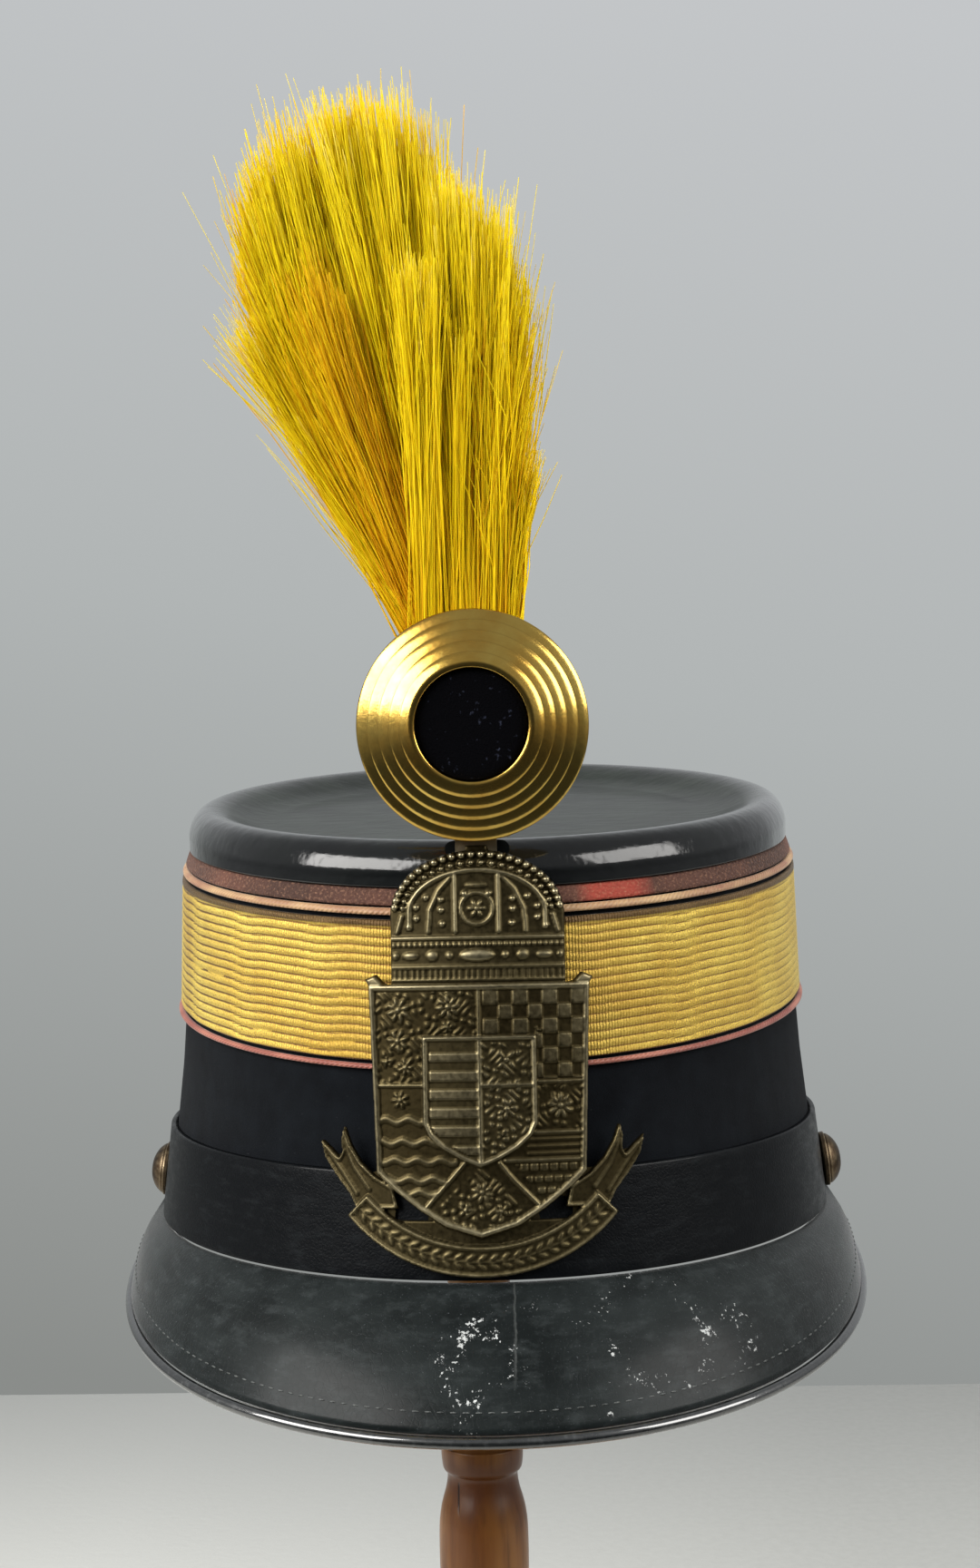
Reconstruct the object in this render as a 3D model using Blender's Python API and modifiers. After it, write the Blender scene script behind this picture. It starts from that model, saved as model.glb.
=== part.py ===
"""Shako hat with a horsehair plume, held by a plain turned wooden stand.

Metres, +Z up. The hat's front faces -Y, and the origin is under the middle of the stand's foot.
"""
import math

import bmesh
import bpy
from mathutils import Matrix, Vector

# Driving dimensions of the felt body
RIM_HEIGHT = 0.2000
HAT_SHIFT = 0.0048
OVAL_RATIO = 1.2
OVAL_STEPS = 40
WELD_DISTANCE = 0.00002
RIM_HALF_WIDTH = 0.0823
TOP_HALF_WIDTH = 0.0735
FELT_HEIGHT = 0.0955
FELT_THICKNESS = 0.0025
CROWN_LEAN = math.radians(5.6)
GAP = 0.0003

# Bands round the body, from the leather top down to the rim
CAP_THICKNESS = 0.0017
CAP_OVERLAP = 0.0033
CAP_RISE = 0.0098
SHOULDER_WIDTH = 0.0200
BRAID_HEIGHT = 0.0038
BRAID_THICKNESS = 0.0014
PIPING_DIAMETER = 0.0016
PIPING_SPACE = 0.0009
LACE_HEIGHT = 0.0310
LACE_THICKNESS = 0.0011
HEADBAND_HEIGHT = 0.0225
HEADBAND_THICKNESS = 0.0014

# Peak and its rolled edge
PEAK_WIDTH = 0.0336
PEAK_THICKNESS = 0.0020
PEAK_SLOPE = math.radians(51.0)
PEAK_SIDE_SLOPE = math.radians(8.5)
PEAK_HALF_ANGLE = math.radians(92.0)
PEAK_TURN = math.radians(2.0)
PEAK_TAPER = 0.83
PEAK_CORNER = math.radians(7.0)
PEAK_BULGE = 0.0018
PEAK_STEPS = 28
PEAK_SETBACK = 0.0004
BINDING_DIAMETER = 0.0026
BINDING_END = math.radians(87.0)

# Side buttons
BUTTON_DIAMETER = 0.0136
BUTTON_DEPTH = 0.0050
BUTTON_HEIGHT = 0.0074

# Cast badge
BADGE_SHIFT = 0.0005
BADGE_FOOT = 0.0009
BADGE_PLATE = 0.0012
BADGE_RELIEF = 0.0007
BADGE_BEND_RADIUS = 0.0700
BADGE_BEND_STEP = 0.0085
SHIELD_WIDTH = 0.0480
SHIELD_CHEEK_WIDTH = 0.0452
SHIELD_TIP = 0.0083
SHIELD_CHEEK = 0.0220
SHIELD_TOP = 0.0624
SHIELD_FRAME = 0.0014
RIDGE_WIDTH = 0.0010
SMALL_SHIELD_WIDTH = 0.0230
SMALL_SHIELD_TIP = 0.0238
SMALL_SHIELD_CHEEK = 0.0306
SMALL_SHIELD_TOP = 0.0507
BADGE_CROWN_WIDTH = 0.0376
BADGE_CROWN_BAND = 0.0095
BADGE_CROWN_SHOULDER = 0.0150
BADGE_CROWN_HEIGHT = 0.0286
BEAD_DIAMETER = 0.0019
BEAD_COUNT = 11
RIBBON_HALF_WIDTH = 0.0296
RIBBON_RISE = 0.0130
RIBBON_BREADTH = 0.0066
RIBBON_TAIL_REACH = 0.0375
RIBBON_TAIL_TOP = 0.0260

# Boss, plume holder and plume
BOSS_DIAMETER = 0.0498
BOSS_DEPTH = 0.0068
BOSS_WALL = 0.0010
BOSS_RIM = 0.0012
BOSS_LIFT = 0.0020
BOSS_RIDGES = 5
BOSS_LIP_DIAMETER = 0.0262
BOSS_BORE = 0.0241
BOSS_RECESS = 0.0026
CENTER_DIAMETER = 0.0235
CENTER_THICKNESS = 0.0012
STRIP_WIDTH = 0.0090
STRIP_THICKNESS = 0.0012
STRIP_SPACE = 0.0005
STRIP_LENGTH = 0.0340
SOCKET_DIAMETER = 0.0150
SOCKET_WALL = 0.0012
SOCKET_LENGTH = 0.0340
SOCKET_SETBACK = 0.0016
PLUME_HEIGHT = 0.1325
PLUME_REACH = 0.0600
PLUME_DEPTH = 0.0120
PLUME_LOCK_RADIUS = 0.0095
PLUME_TIP_RADIUS = 0.0011
PLUME_SHANK = 0.0180
PLUME_HEAD = 0.0050
PLUME_ROOT_SPREAD = 0.0060

# Wooden stand
FOOT_DIAMETER = 0.1700
FOOT_HEIGHT = 0.0200
FOOT_EDGE = 0.0025
POST_DIAMETER = 0.0229
STAND_HEAD_DIAMETER = 0.1080
STAND_HEAD_DOME = 0.0800
STAND_HEAD_EDGE = 0.0140

# Felt wall: share of the height, share of the spread from top to rim, share of the lean
WALL_SECTIONS = (
    (0.000, 1.000, 0.00),
    (0.236, 0.713, 0.00),
    (0.400, 0.520, 0.45),
    (0.580, 0.386, 1.00),
    (0.894, 0.283, 1.00),
    (0.966, 0.010, 1.00),
    (1.000, 0.000, 1.00),
)

# Leather top: share of the shoulder's width inward, share of the rise
CAP_SECTIONS = (
    (0.00, 0.00),
    (0.00, 0.40),
    (0.08, 0.80),
    (0.22, 1.00),
    (0.42, 0.92),
    (0.72, 0.65),
    (1.00, 0.53),
)

# Boss ridges: share of a ridge's width outward, share of its step down
RIDGE_PROFILE = (
    (0.20, 0.00),
    (0.85, 0.22),
    (1.00, 1.00),
)

# Plume locks: sideways, height and depth of the tip, thickness, and how soon the lock spreads
PLUME_LOCKS = (
    (-0.90, 0.600, 0.10, 0.45, 1.05),
    (-0.80, 0.820, -0.50, 0.78, 1.60),
    (-0.71, 0.940, 0.70, 0.88, 1.60),
    (-0.54, 0.985, -0.40, 0.95, 1.70),
    (-0.31, 0.995, 0.60, 0.95, 1.60),
    (-0.16, 0.926, -0.50, 0.90, 1.60),
    (-0.02, 0.855, 0.60, 0.88, 1.70),
    (0.10, 0.780, -0.30, 0.82, 2.00),
    (0.16, 0.668, 0.60, 0.62, 2.30),
    (0.22, 0.345, -0.20, 0.38, 2.00),
    (-0.25, 0.690, -1.00, 0.85, 1.50),
    (-0.62, 0.740, 1.00, 0.88, 1.50),
    (-0.60, 0.700, -1.00, 0.76, 1.40),
)

# Turned post: share of the height, share of the largest radius
POST_SECTIONS = (
    (0.000, 0.90),
    (0.014, 1.13),
    (0.036, 1.13),
    (0.052, 0.80),
    (0.160, 0.89),
    (0.300, 0.98),
    (0.378, 1.00),
    (0.408, 0.95),
    (0.432, 0.82),
    (0.446, 0.79),
    (0.454, 0.89),
    (0.476, 0.91),
    (0.484, 0.76),
    (0.740, 0.70),
    (1.000, 0.85),
)

# Levels of the bands, worked out from the leather top's edge down
LEAN = math.tan(CROWN_LEAN)
CAP_EDGE = FELT_HEIGHT - CAP_OVERLAP
BRAID_TOP = CAP_EDGE - GAP
BRAID_FOOT = BRAID_TOP - BRAID_HEIGHT
UPPER_PIPING = BRAID_FOOT - GAP - PIPING_DIAMETER / 2
LACE_TOP = UPPER_PIPING - PIPING_DIAMETER / 2 - PIPING_SPACE
LACE_FOOT = LACE_TOP - LACE_HEIGHT
LOWER_PIPING = LACE_FOOT - PIPING_SPACE - PIPING_DIAMETER / 2

for item in list(bpy.data.objects):
    bpy.data.objects.remove(item, do_unlink=True)

model = bpy.data.collections.new("shako_on_stand")
bpy.context.scene.collection.children.link(model)
workshop = bpy.data.collections.new("shapes_to_fuse")
bpy.context.scene.collection.children.link(workshop)


def finish(name, colour, roughness, metallic=0.0):
    """A Principled material for one sub-part."""
    material = bpy.data.materials.new(name)
    material.use_nodes = True
    shader = material.node_tree.nodes["Principled BSDF"]
    shader.inputs["Base Color"].default_value = (*colour, 1.0)
    shader.inputs["Roughness"].default_value = roughness
    shader.inputs["Metallic"].default_value = metallic
    return material


def add_part(name, data, material, parent):
    """Link a mesh or curve as one named sub-part of the model."""
    part = bpy.data.objects.new(name, data)
    model.objects.link(part)
    data.materials.append(material)
    part.parent = parent
    if isinstance(data, bpy.types.Mesh):
        data.shade_smooth()
        data.set_sharp_from_angle(angle=math.radians(35))
    return part


def add_empty(name, location):
    """A guide that carries a group of parts."""
    empty = bpy.data.objects.new(name, None)
    model.objects.link(empty)
    empty.location = location
    empty.hide_render = True
    return empty


def lookup(rows, position, column):
    """Straight-line reading of a table whose first column rises."""
    for lower, upper in zip(rows, rows[1:]):
        if position <= upper[0]:
            share = (position - lower[0]) / (upper[0] - lower[0])
            return lower[column] + share * (upper[column] - lower[column])
    return rows[-1][column]


def felt_half_width(height):
    """Half width of the felt body at a height above the rim, on the hat's axis."""
    spread = lookup(WALL_SECTIONS, height / FELT_HEIGHT, 1)
    return TOP_HALF_WIDTH + spread * (RIM_HALF_WIDTH - TOP_HALF_WIDTH)


def lean_at(height):
    """Slope of the level at a height: the crown is lower in front than behind."""
    return LEAN * lookup(WALL_SECTIONS, height / FELT_HEIGHT, 2)


def oval_normal(half_width, angle):
    """Level outward direction on the oval, the angle counted from the front."""
    half_length = OVAL_RATIO * half_width
    return Vector((math.sin(angle) / half_width, -math.cos(angle) / half_length, 0)).normalized()


def oval_point(half_width, height, lean, angle, outset=0.0):
    """A point of the leaning oval, pushed outward by the outset."""
    flat = Vector((half_width * math.sin(angle), -OVAL_RATIO * half_width * math.cos(angle), 0))
    rise = Vector((0, 0, height + lean * flat.y))
    return flat + rise + oval_normal(half_width, angle) * outset


def oval_row(half_width, height, lean, outset=0.0):
    """All the points of one oval."""
    turns = [2 * math.pi * step / OVAL_STEPS for step in range(OVAL_STEPS)]
    return [oval_point(half_width, height, lean, turn, outset) for turn in turns]


def wall_levels(bottom, top):
    """Heights at which a band on the felt has to follow the wall."""
    bends = [row[0] * FELT_HEIGHT for row in WALL_SECTIONS]
    return [bottom] + [bend for bend in bends if bottom < bend < top] + [top]


def loft(name, rows, around=True, cap_last=False):
    """An open surface through rows of points, listed from the lowest row up."""
    mesh = bpy.data.meshes.new(name)
    shape = bmesh.new()
    rings = [[shape.verts.new(point) for point in row] for row in rows]
    count = len(rows[0])
    for lower, upper in zip(rings, rings[1:]):
        for column in range(count if around else count - 1):
            following = (column + 1) % count
            shape.faces.new((lower[column], lower[following], upper[following], upper[column]))
    if cap_last:
        shape.faces.new(rings[-1])
    shape.to_mesh(mesh)
    shape.free()
    return mesh


def thicken(part, thickness):
    """Give a surface its thickness, inward from the face that shows."""
    solid = part.modifiers.new("thickness", "SOLIDIFY")
    solid.thickness = thickness
    solid.offset = -1
    solid.use_even_offset = True
    return part


def band(name, bottom, top, thickness, material):
    """A strip laid round the felt, a small gap off it."""
    outset = GAP + thickness
    rows = [
        oval_row(felt_half_width(height), height, lean_at(height), outset)
        for height in wall_levels(bottom, top)
    ]
    return thicken(add_part(name, loft(name, rows), material, hat), thickness)


def round_line(name, points, diameter, material, cyclic=False):
    """A cord or rolled edge along a line of points."""
    curve = bpy.data.curves.new(name, "CURVE")
    curve.dimensions = "3D"
    curve.bevel_depth = diameter / 2
    curve.bevel_resolution = 0 if cyclic else 1
    curve.use_fill_caps = not cyclic
    spline = curve.splines.new("POLY")
    spline.points.add(len(points) - 1)
    for spot, point in zip(spline.points, points):
        spot.co = (*point, 1)
    spline.use_cyclic_u = cyclic
    return add_part(name, curve, material, hat)


def piping(name, height, material):
    """A thin cord that lies round the felt."""
    outset = GAP + PIPING_DIAMETER / 2
    points = oval_row(felt_half_width(height), height, lean_at(height), outset)
    return round_line(name, points, PIPING_DIAMETER, material, cyclic=True)


def turned(name, profile, steps, material, parent):
    """A turned shape: radius and height from its top, down the outer side, to its foot."""
    mesh = bpy.data.meshes.new(name)
    edges = [(step, step + 1) for step in range(len(profile) - 1)]
    mesh.from_pydata([(radius, 0, height) for radius, height in profile], edges, [])
    part = add_part(name, mesh, material, parent)
    screw = part.modifiers.new("turning", "SCREW")
    screw.angle = 2 * math.pi
    screw.steps = steps
    screw.render_steps = steps
    screw.use_merge_vertices = True
    screw.merge_threshold = 0.00005
    return part


def flat_shape(outline, back, front):
    """A flat shape cut from sheet, as a closed mesh between two levels."""
    curve = bpy.data.curves.new("outline", "CURVE")
    curve.dimensions = "2D"
    curve.fill_mode = "BOTH"
    curve.extrude = (front - back) / 2
    spline = curve.splines.new("POLY")
    spline.points.add(len(outline) - 1)
    for spot, point in zip(spline.points, outline):
        spot.co = (*point, 0, 1)
    spline.use_cyclic_u = True
    drawing = bpy.data.objects.new("outline", curve)
    workshop.objects.link(drawing)
    drawing.location.z = (front + back) / 2
    return meshed(drawing)


def meshed(drawing):
    """Turn a curve into a mesh piece with its caps welded on."""
    bpy.context.view_layer.update()
    evaluated = drawing.evaluated_get(bpy.context.evaluated_depsgraph_get())
    mesh = bpy.data.meshes.new_from_object(evaluated)
    shape = bmesh.new()
    shape.from_mesh(mesh)
    bmesh.ops.remove_doubles(shape, verts=shape.verts, dist=0.000002)
    bmesh.ops.recalc_face_normals(shape, faces=shape.faces)
    shape.to_mesh(mesh)
    shape.free()
    piece = bpy.data.objects.new(drawing.name, mesh)
    piece.matrix_world = drawing.matrix_world
    piece.display_type = "WIRE"
    piece.hide_render = True
    workshop.objects.link(piece)
    bpy.data.objects.remove(drawing, do_unlink=True)
    return piece


def fused(name, pieces):
    """One closed mesh from pieces that overlap."""
    group = bpy.data.collections.new(name + "_pieces")
    workshop.children.link(group)
    for piece in pieces[1:]:
        group.objects.link(piece)
    union = pieces[0].modifiers.new("fuse", "BOOLEAN")
    union.operation = "UNION"
    union.solver = "EXACT"
    union.operand_type = "COLLECTION"
    union.collection = group
    bpy.context.view_layer.update()
    evaluated = pieces[0].evaluated_get(bpy.context.evaluated_depsgraph_get())
    mesh = bpy.data.meshes.new_from_object(evaluated)
    mesh.transform(pieces[0].matrix_world)
    mesh.name = name
    for piece in pieces:
        bpy.data.objects.remove(piece, do_unlink=True)
    bpy.data.collections.remove(group)
    shape = bmesh.new()
    shape.from_mesh(mesh)
    weld_slivers(shape)
    bmesh.ops.triangulate(shape, faces=shape.faces)
    weld_slivers(shape)
    shape.to_mesh(mesh)
    shape.free()
    return mesh


def weld_slivers(shape):
    """Join points that all but touch, and drop the faces that this leaves with no area."""
    bmesh.ops.remove_doubles(shape, verts=shape.verts, dist=WELD_DISTANCE)
    bmesh.ops.dissolve_degenerate(shape, edges=shape.edges, dist=WELD_DISTANCE)
    loose = [edge for edge in shape.edges if not edge.link_faces]
    bmesh.ops.delete(shape, geom=loose, context="EDGES")


def oval_outline(center, half_width, half_height, count):
    """Points of an upright oval, or of a regular figure with few points."""
    turns = [2 * math.pi * step / count for step in range(count)]
    return [
        (center[0] + half_width * math.cos(turn), center[1] + half_height * math.sin(turn))
        for turn in turns
    ]


def box_outline(left, bottom, right, top):
    """Corners of an upright rectangle."""
    return [(left, bottom), (right, bottom), (right, top), (left, top)]


def line_outline(start, end, width):
    """A straight bar between two points."""
    start, end = Vector(start), Vector(end)
    side = (end - start).orthogonal().normalized() * width / 2
    return [tuple(start - side), tuple(end - side), tuple(end + side), tuple(start + side)]


def shield_outline(top_width, cheek_width, tip, cheek, top):
    """A shield with a level top, straight sides and a pointed foot."""
    half = cheek_width / 2
    shares = (0.92, 0.78, 0.60, 0.34)
    foot = [(half * share, tip + (cheek - tip) * share ** 1.6) for share in shares]
    right = [(top_width / 2, top), (half, cheek)] + foot + [(0, tip)]
    left = [(-across, height) for across, height in reversed(right[:-1])]
    return right + left


def arc_outline(half_width, foot, rise, breadth, steps=10):
    """A curved strip whose ends rise on both sides of its middle."""
    outer_radius = (half_width ** 2 + rise ** 2) / (2 * rise)
    end = math.asin(half_width / outer_radius)
    turns = [-end + 2 * end * step / steps for step in range(steps + 1)]
    middle = foot + outer_radius
    outer = [(outer_radius * math.sin(turn), middle - outer_radius * math.cos(turn)) for turn in turns]
    inner_radius = outer_radius - breadth
    inner = [(inner_radius * math.sin(turn), middle - inner_radius * math.cos(turn)) for turn in turns]
    return outer + inner[::-1]


def crown_arch(outset, steps=12):
    """Points over the badge's crown, from its right shoulder to its left."""
    half = BADGE_CROWN_WIDTH / 2 - outset
    shoulder = SHIELD_TOP + BADGE_CROWN_SHOULDER
    height = BADGE_CROWN_HEIGHT - BADGE_CROWN_SHOULDER - outset
    turns = [math.pi * step / steps for step in range(steps + 1)]
    return [(half * math.cos(turn), shoulder + height * math.sin(turn)) for turn in turns]


def badge_plates():
    """The flat plates: shield, crown, ribbon and its two forked tails."""
    base = BADGE_PLATE
    crown_half = BADGE_CROWN_WIDTH / 2
    crown = [(-crown_half, SHIELD_TOP - RIDGE_WIDTH), (crown_half, SHIELD_TOP - RIDGE_WIDTH)]
    crown += crown_arch(0.0)
    ribbon = arc_outline(RIBBON_HALF_WIDTH, 0.0, RIBBON_RISE, RIBBON_BREADTH)
    shield = shield_outline(SHIELD_WIDTH, SHIELD_CHEEK_WIDTH, SHIELD_TIP, SHIELD_CHEEK, SHIELD_TOP)
    plates = [
        flat_shape(shield, 0, base),
        flat_shape(crown, 0, base * 0.98),
        flat_shape(ribbon, 0, base * 0.99),
        flat_shape(
            arc_outline(RIBBON_HALF_WIDTH * 0.985, RIDGE_WIDTH, RIBBON_RISE, RIBBON_BREADTH * 0.7),
            base / 2,
            base + BADGE_RELIEF * 0.8,
        ),
    ]
    web = arc_outline(RIBBON_HALF_WIDTH * 0.86, RIDGE_WIDTH, RIBBON_RISE * 0.8, SHIELD_TIP + RIDGE_WIDTH)
    plates.append(flat_shape(web, 0, base * 0.5))
    # Outline of a tail: share of its reach, share of its top
    tail = (
        (0.50, 0.50),
        (0.72, 0.58),
        (1.00, 1.00),
        (0.84, 0.90),
        (0.83, 1.13),
        (0.52, 0.78),
    )
    for side in (-1, 1):
        points = [
            (side * RIBBON_TAIL_REACH * across, RIBBON_TAIL_TOP * height) for across, height in tail
        ]
        plates.append(flat_shape(points, base * 0.1, base * 0.9))
    return plates


def shield_relief():
    """Frame, small shield and the raised lines and charges of the fields."""
    base = BADGE_PLATE / 2
    high = BADGE_PLATE + BADGE_RELIEF
    low = BADGE_PLATE + BADGE_RELIEF * 0.6
    half = SHIELD_WIDTH / 2
    inner = half - SHIELD_FRAME * 0.6
    small_half = SMALL_SHIELD_WIDTH / 2
    frame_top = SHIELD_TOP - SHIELD_FRAME * 0.6
    field = SHIELD_CHEEK + (SHIELD_TOP - SHIELD_CHEEK) / 2
    small_shield = shield_outline(
        SMALL_SHIELD_WIDTH, SMALL_SHIELD_WIDTH, SMALL_SHIELD_TIP, SMALL_SHIELD_CHEEK, SMALL_SHIELD_TOP
    )
    outlines = [
        (line_outline((-inner, frame_top), (inner, frame_top), SHIELD_FRAME), high),
        (small_shield, low),
        (line_outline((0, SMALL_SHIELD_TIP), (0, frame_top), RIDGE_WIDTH), high * 0.98),
        (line_outline((-inner, field), (-small_half, field), RIDGE_WIDTH), low * 0.98),
        (line_outline((small_half, field), (inner, field), RIDGE_WIDTH), low * 0.98),
        (line_outline((-inner, SHIELD_CHEEK * 1.10), (0, SHIELD_CHEEK * 1.10), RIDGE_WIDTH), low * 0.97),
        (line_outline((0, SHIELD_CHEEK * 1.16), (inner, SHIELD_CHEEK * 1.16), RIDGE_WIDTH), low * 0.97),
    ]
    for side in (-1, 1):
        edge_top = (side * inner, frame_top)
        edge_foot = (side * (SHIELD_CHEEK_WIDTH / 2 - SHIELD_FRAME * 0.6), SHIELD_CHEEK)
        foot = (side * half * 0.56, SHIELD_CHEEK * 0.64)
        outlines += [
            (line_outline(edge_foot, edge_top, SHIELD_FRAME), high * 0.99),
            (line_outline((side * 0.2 * half, SHIELD_CHEEK * 1.1), foot, RIDGE_WIDTH), low * 0.96),
        ]
    bar_gap = (SMALL_SHIELD_TOP - SMALL_SHIELD_CHEEK) / 4
    for step in range(3):
        height = SMALL_SHIELD_CHEEK + (step + 0.7) * bar_gap
        bar = line_outline((-small_half * 0.86, height), (-RIDGE_WIDTH, height), RIDGE_WIDTH * 1.8)
        outlines.append((bar, high * 0.97))
    tile = (half - SHIELD_FRAME - RIDGE_WIDTH) / 4
    for row in range(2):
        for column in range(4):
            if (row + column) % 2:
                continue
            left = RIDGE_WIDTH + column * tile
            top = SHIELD_TOP - SHIELD_FRAME * 1.3 - row * tile
            outlines.append((box_outline(left, top - tile * 0.94, left + tile * 0.94, top), low * 0.95))
    # Rosettes: share of the shield's half width, share of its height over the tip
    rosettes = (
        (-0.72, 0.90),
        (-0.32, 0.90),
        (-0.74, 0.72),
        (0.74, 0.50),
        (0.24, 0.64),
        (0.00, 0.26),
    )
    for across, height in rosettes:
        center = (across * half, SHIELD_TIP + height * (SHIELD_TOP - SHIELD_TIP) * 0.98)
        outlines.append((oval_outline(center, tile * 0.42, tile * 0.42, 6), high * 0.96))
    return [flat_shape(outline, base, front) for outline, front in outlines]


def crown_relief():
    """Beaded arch, upright band, lower band and gem of the badge's crown."""
    base = BADGE_PLATE / 2
    high = BADGE_PLATE + BADGE_RELIEF
    low = BADGE_PLATE + BADGE_RELIEF * 0.6
    half = BADGE_CROWN_WIDTH / 2
    top = SHIELD_TOP + BADGE_CROWN_HEIGHT
    band_top = SHIELD_TOP + BADGE_CROWN_BAND
    arch = crown_arch(BEAD_DIAMETER * 0.6) + crown_arch(BEAD_DIAMETER * 1.6)[::-1]
    outlines = [
        (box_outline(-half * 0.98, SHIELD_TOP + RIDGE_WIDTH, half * 0.98, band_top), low),
        (arch, high * 0.97),
        (box_outline(-half * 0.16, band_top - RIDGE_WIDTH, half * 0.16, top - BEAD_DIAMETER), low * 1.03),
        (oval_outline((0, band_top - BADGE_CROWN_BAND / 2), half * 0.2, BADGE_CROWN_BAND / 4, 8), high),
    ]
    for step in range(BEAD_COUNT):
        turn = math.pi * (step + 0.5) / BEAD_COUNT
        across = (half - BEAD_DIAMETER / 4) * math.cos(turn)
        rise = (BADGE_CROWN_HEIGHT - BADGE_CROWN_SHOULDER - BEAD_DIAMETER / 4) * math.sin(turn)
        center = (across, SHIELD_TOP + BADGE_CROWN_SHOULDER + rise)
        outlines.append((oval_outline(center, BEAD_DIAMETER / 2, BEAD_DIAMETER / 2, 6), high * 1.02))
    return [flat_shape(outline, base, front) for outline, front in outlines]


def badge_frame():
    """Where the badge sits: its foot behind the plate, and its lean back from the upright."""
    foot_height = BADGE_FOOT
    foot_seat = OVAL_RATIO * felt_half_width(foot_height) + GAP + HEADBAND_THICKNESS + GAP
    front_drop = lean_at(LACE_TOP) * OVAL_RATIO * felt_half_width(LACE_TOP)
    lace_front = OVAL_RATIO * felt_half_width(LACE_TOP) + GAP + LACE_THICKNESS
    lace_seat = lace_front + GAP + STRIP_THICKNESS + STRIP_SPACE
    lean = math.atan2(foot_seat - lace_seat, LACE_TOP - front_drop - foot_height)
    return Vector((BADGE_SHIFT, -foot_seat, foot_height)), lean


def build_badge(material):
    """One cast plate, bent to the hat's curve and leaned on its front."""
    mesh = fused("badge", badge_plates() + shield_relief() + crown_relief())
    shape = bmesh.new()
    shape.from_mesh(mesh)
    bmesh.ops.dissolve_limit(shape, angle_limit=0.001, verts=shape.verts, edges=shape.edges)
    bends = round(RIBBON_TAIL_REACH / BADGE_BEND_STEP)
    for step in range(-bends, bends + 1):
        cut = Vector(((step + 0.5) * BADGE_BEND_STEP, 0, 0))
        everything = shape.verts[:] + shape.edges[:] + shape.faces[:]
        bmesh.ops.bisect_plane(shape, geom=everything, dist=WELD_DISTANCE, plane_co=cut, plane_no=(1, 0, 0))
    weld_slivers(shape)
    bmesh.ops.triangulate(shape, faces=shape.faces)
    weld_slivers(shape)
    foot, lean = badge_frame()
    upright = Vector((0, math.sin(lean), math.cos(lean)))
    outward = Vector((0, -math.cos(lean), math.sin(lean)))
    for vertex in shape.verts:
        across, rise, depth = vertex.co
        turn = across / BADGE_BEND_RADIUS
        radius = BADGE_BEND_RADIUS + depth
        proud = radius * math.cos(turn) - BADGE_BEND_RADIUS
        vertex.co = foot + Vector((radius * math.sin(turn), 0, 0)) + upright * rise + outward * proud
    bmesh.ops.recalc_face_normals(shape, faces=shape.faces)
    shape.to_mesh(mesh)
    shape.free()
    return add_part("badge", mesh, material, hat)


def peak_width(angle):
    """Length of the peak from the rim to its edge, at an angle from the front."""
    width = PEAK_WIDTH * math.cos(PEAK_TAPER * angle)
    into_corner = max(0.0, abs(angle) - (PEAK_HALF_ANGLE - PEAK_CORNER)) / PEAK_CORNER
    return width * max(0.2, math.sqrt(1 - min(1.0, into_corner) ** 2))


def peak_point(angle, share, depth=0.0, extra=0.0):
    """A point of the peak: share of its width from the rim, depth under its face."""
    outset = GAP + HEADBAND_THICKNESS - PEAK_SETBACK
    start = oval_point(felt_half_width(0), -PEAK_SETBACK, 0, angle + PEAK_TURN, outset)
    level = oval_normal(felt_half_width(0), angle + PEAK_TURN)
    slope = PEAK_SLOPE + PEAK_SIDE_SLOPE * (1 - math.cos(angle))
    run = level * math.cos(slope) - Vector((0, 0, math.sin(slope)))
    face = level * math.sin(slope) + Vector((0, 0, math.cos(slope)))
    bulge = PEAK_BULGE * math.sin(math.pi * share)
    return start + run * (share * peak_width(angle) + extra) + face * (bulge - depth)


def build_peak(leather, edge):
    """The peak and the rolled edge sewn round it."""
    turns = [PEAK_HALF_ANGLE * (2 * step / PEAK_STEPS - 1) for step in range(PEAK_STEPS + 1)]
    rows = [[peak_point(turn, share) for turn in turns] for share in (1.0, 0.66, 0.33, 0.0)]
    thicken(add_part("peak", loft("peak", rows, around=False), leather, hat), PEAK_THICKNESS)
    bound = [BINDING_END * (2 * step / PEAK_STEPS - 1) for step in range(PEAK_STEPS + 1)]
    clear = BINDING_DIAMETER / 2 + GAP
    points = [peak_point(turn, 1.0, PEAK_THICKNESS / 2, clear) for turn in bound]
    round_line("peak_binding", points, BINDING_DIAMETER, edge)


def build_crown_top(material):
    """Leather top with a rounded shoulder and a dished middle."""
    edge = felt_half_width(CAP_EDGE) + GAP + CAP_THICKNESS
    rows = []
    for inward, rise in CAP_SECTIONS:
        rows.append(oval_row(edge - inward * SHOULDER_WIDTH, CAP_EDGE + rise * CAP_RISE, LEAN))
    cap = add_part("crown_top", loft("crown_top", rows, cap_last=True), material, hat)
    return thicken(cap, CAP_THICKNESS)


def button_profile():
    """Domed button with a flat back."""
    radius = BUTTON_DIAMETER / 2
    shares = ((0, 1.0), (0.38, 0.93), (0.70, 0.72), (0.92, 0.42), (1.0, 0.20), (1.0, 0), (0, 0))
    return [(radius * across, BUTTON_DEPTH * rise) for across, rise in shares]


def build_buttons(material):
    """One button on each side, on the headband over the peak's ends."""
    slope = math.atan2(felt_half_width(0) - felt_half_width(HEADBAND_HEIGHT), HEADBAND_HEIGHT)
    seat = felt_half_width(BUTTON_HEIGHT) + (GAP + HEADBAND_THICKNESS + GAP) / math.cos(slope)
    for name, side in (("button_left", -1), ("button_right", 1)):
        button = turned(name, button_profile(), 16, material, hat)
        button.rotation_euler.y = side * (math.pi / 2 - slope)
        button.location = (side * seat, 0, BUTTON_HEIGHT)


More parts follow.
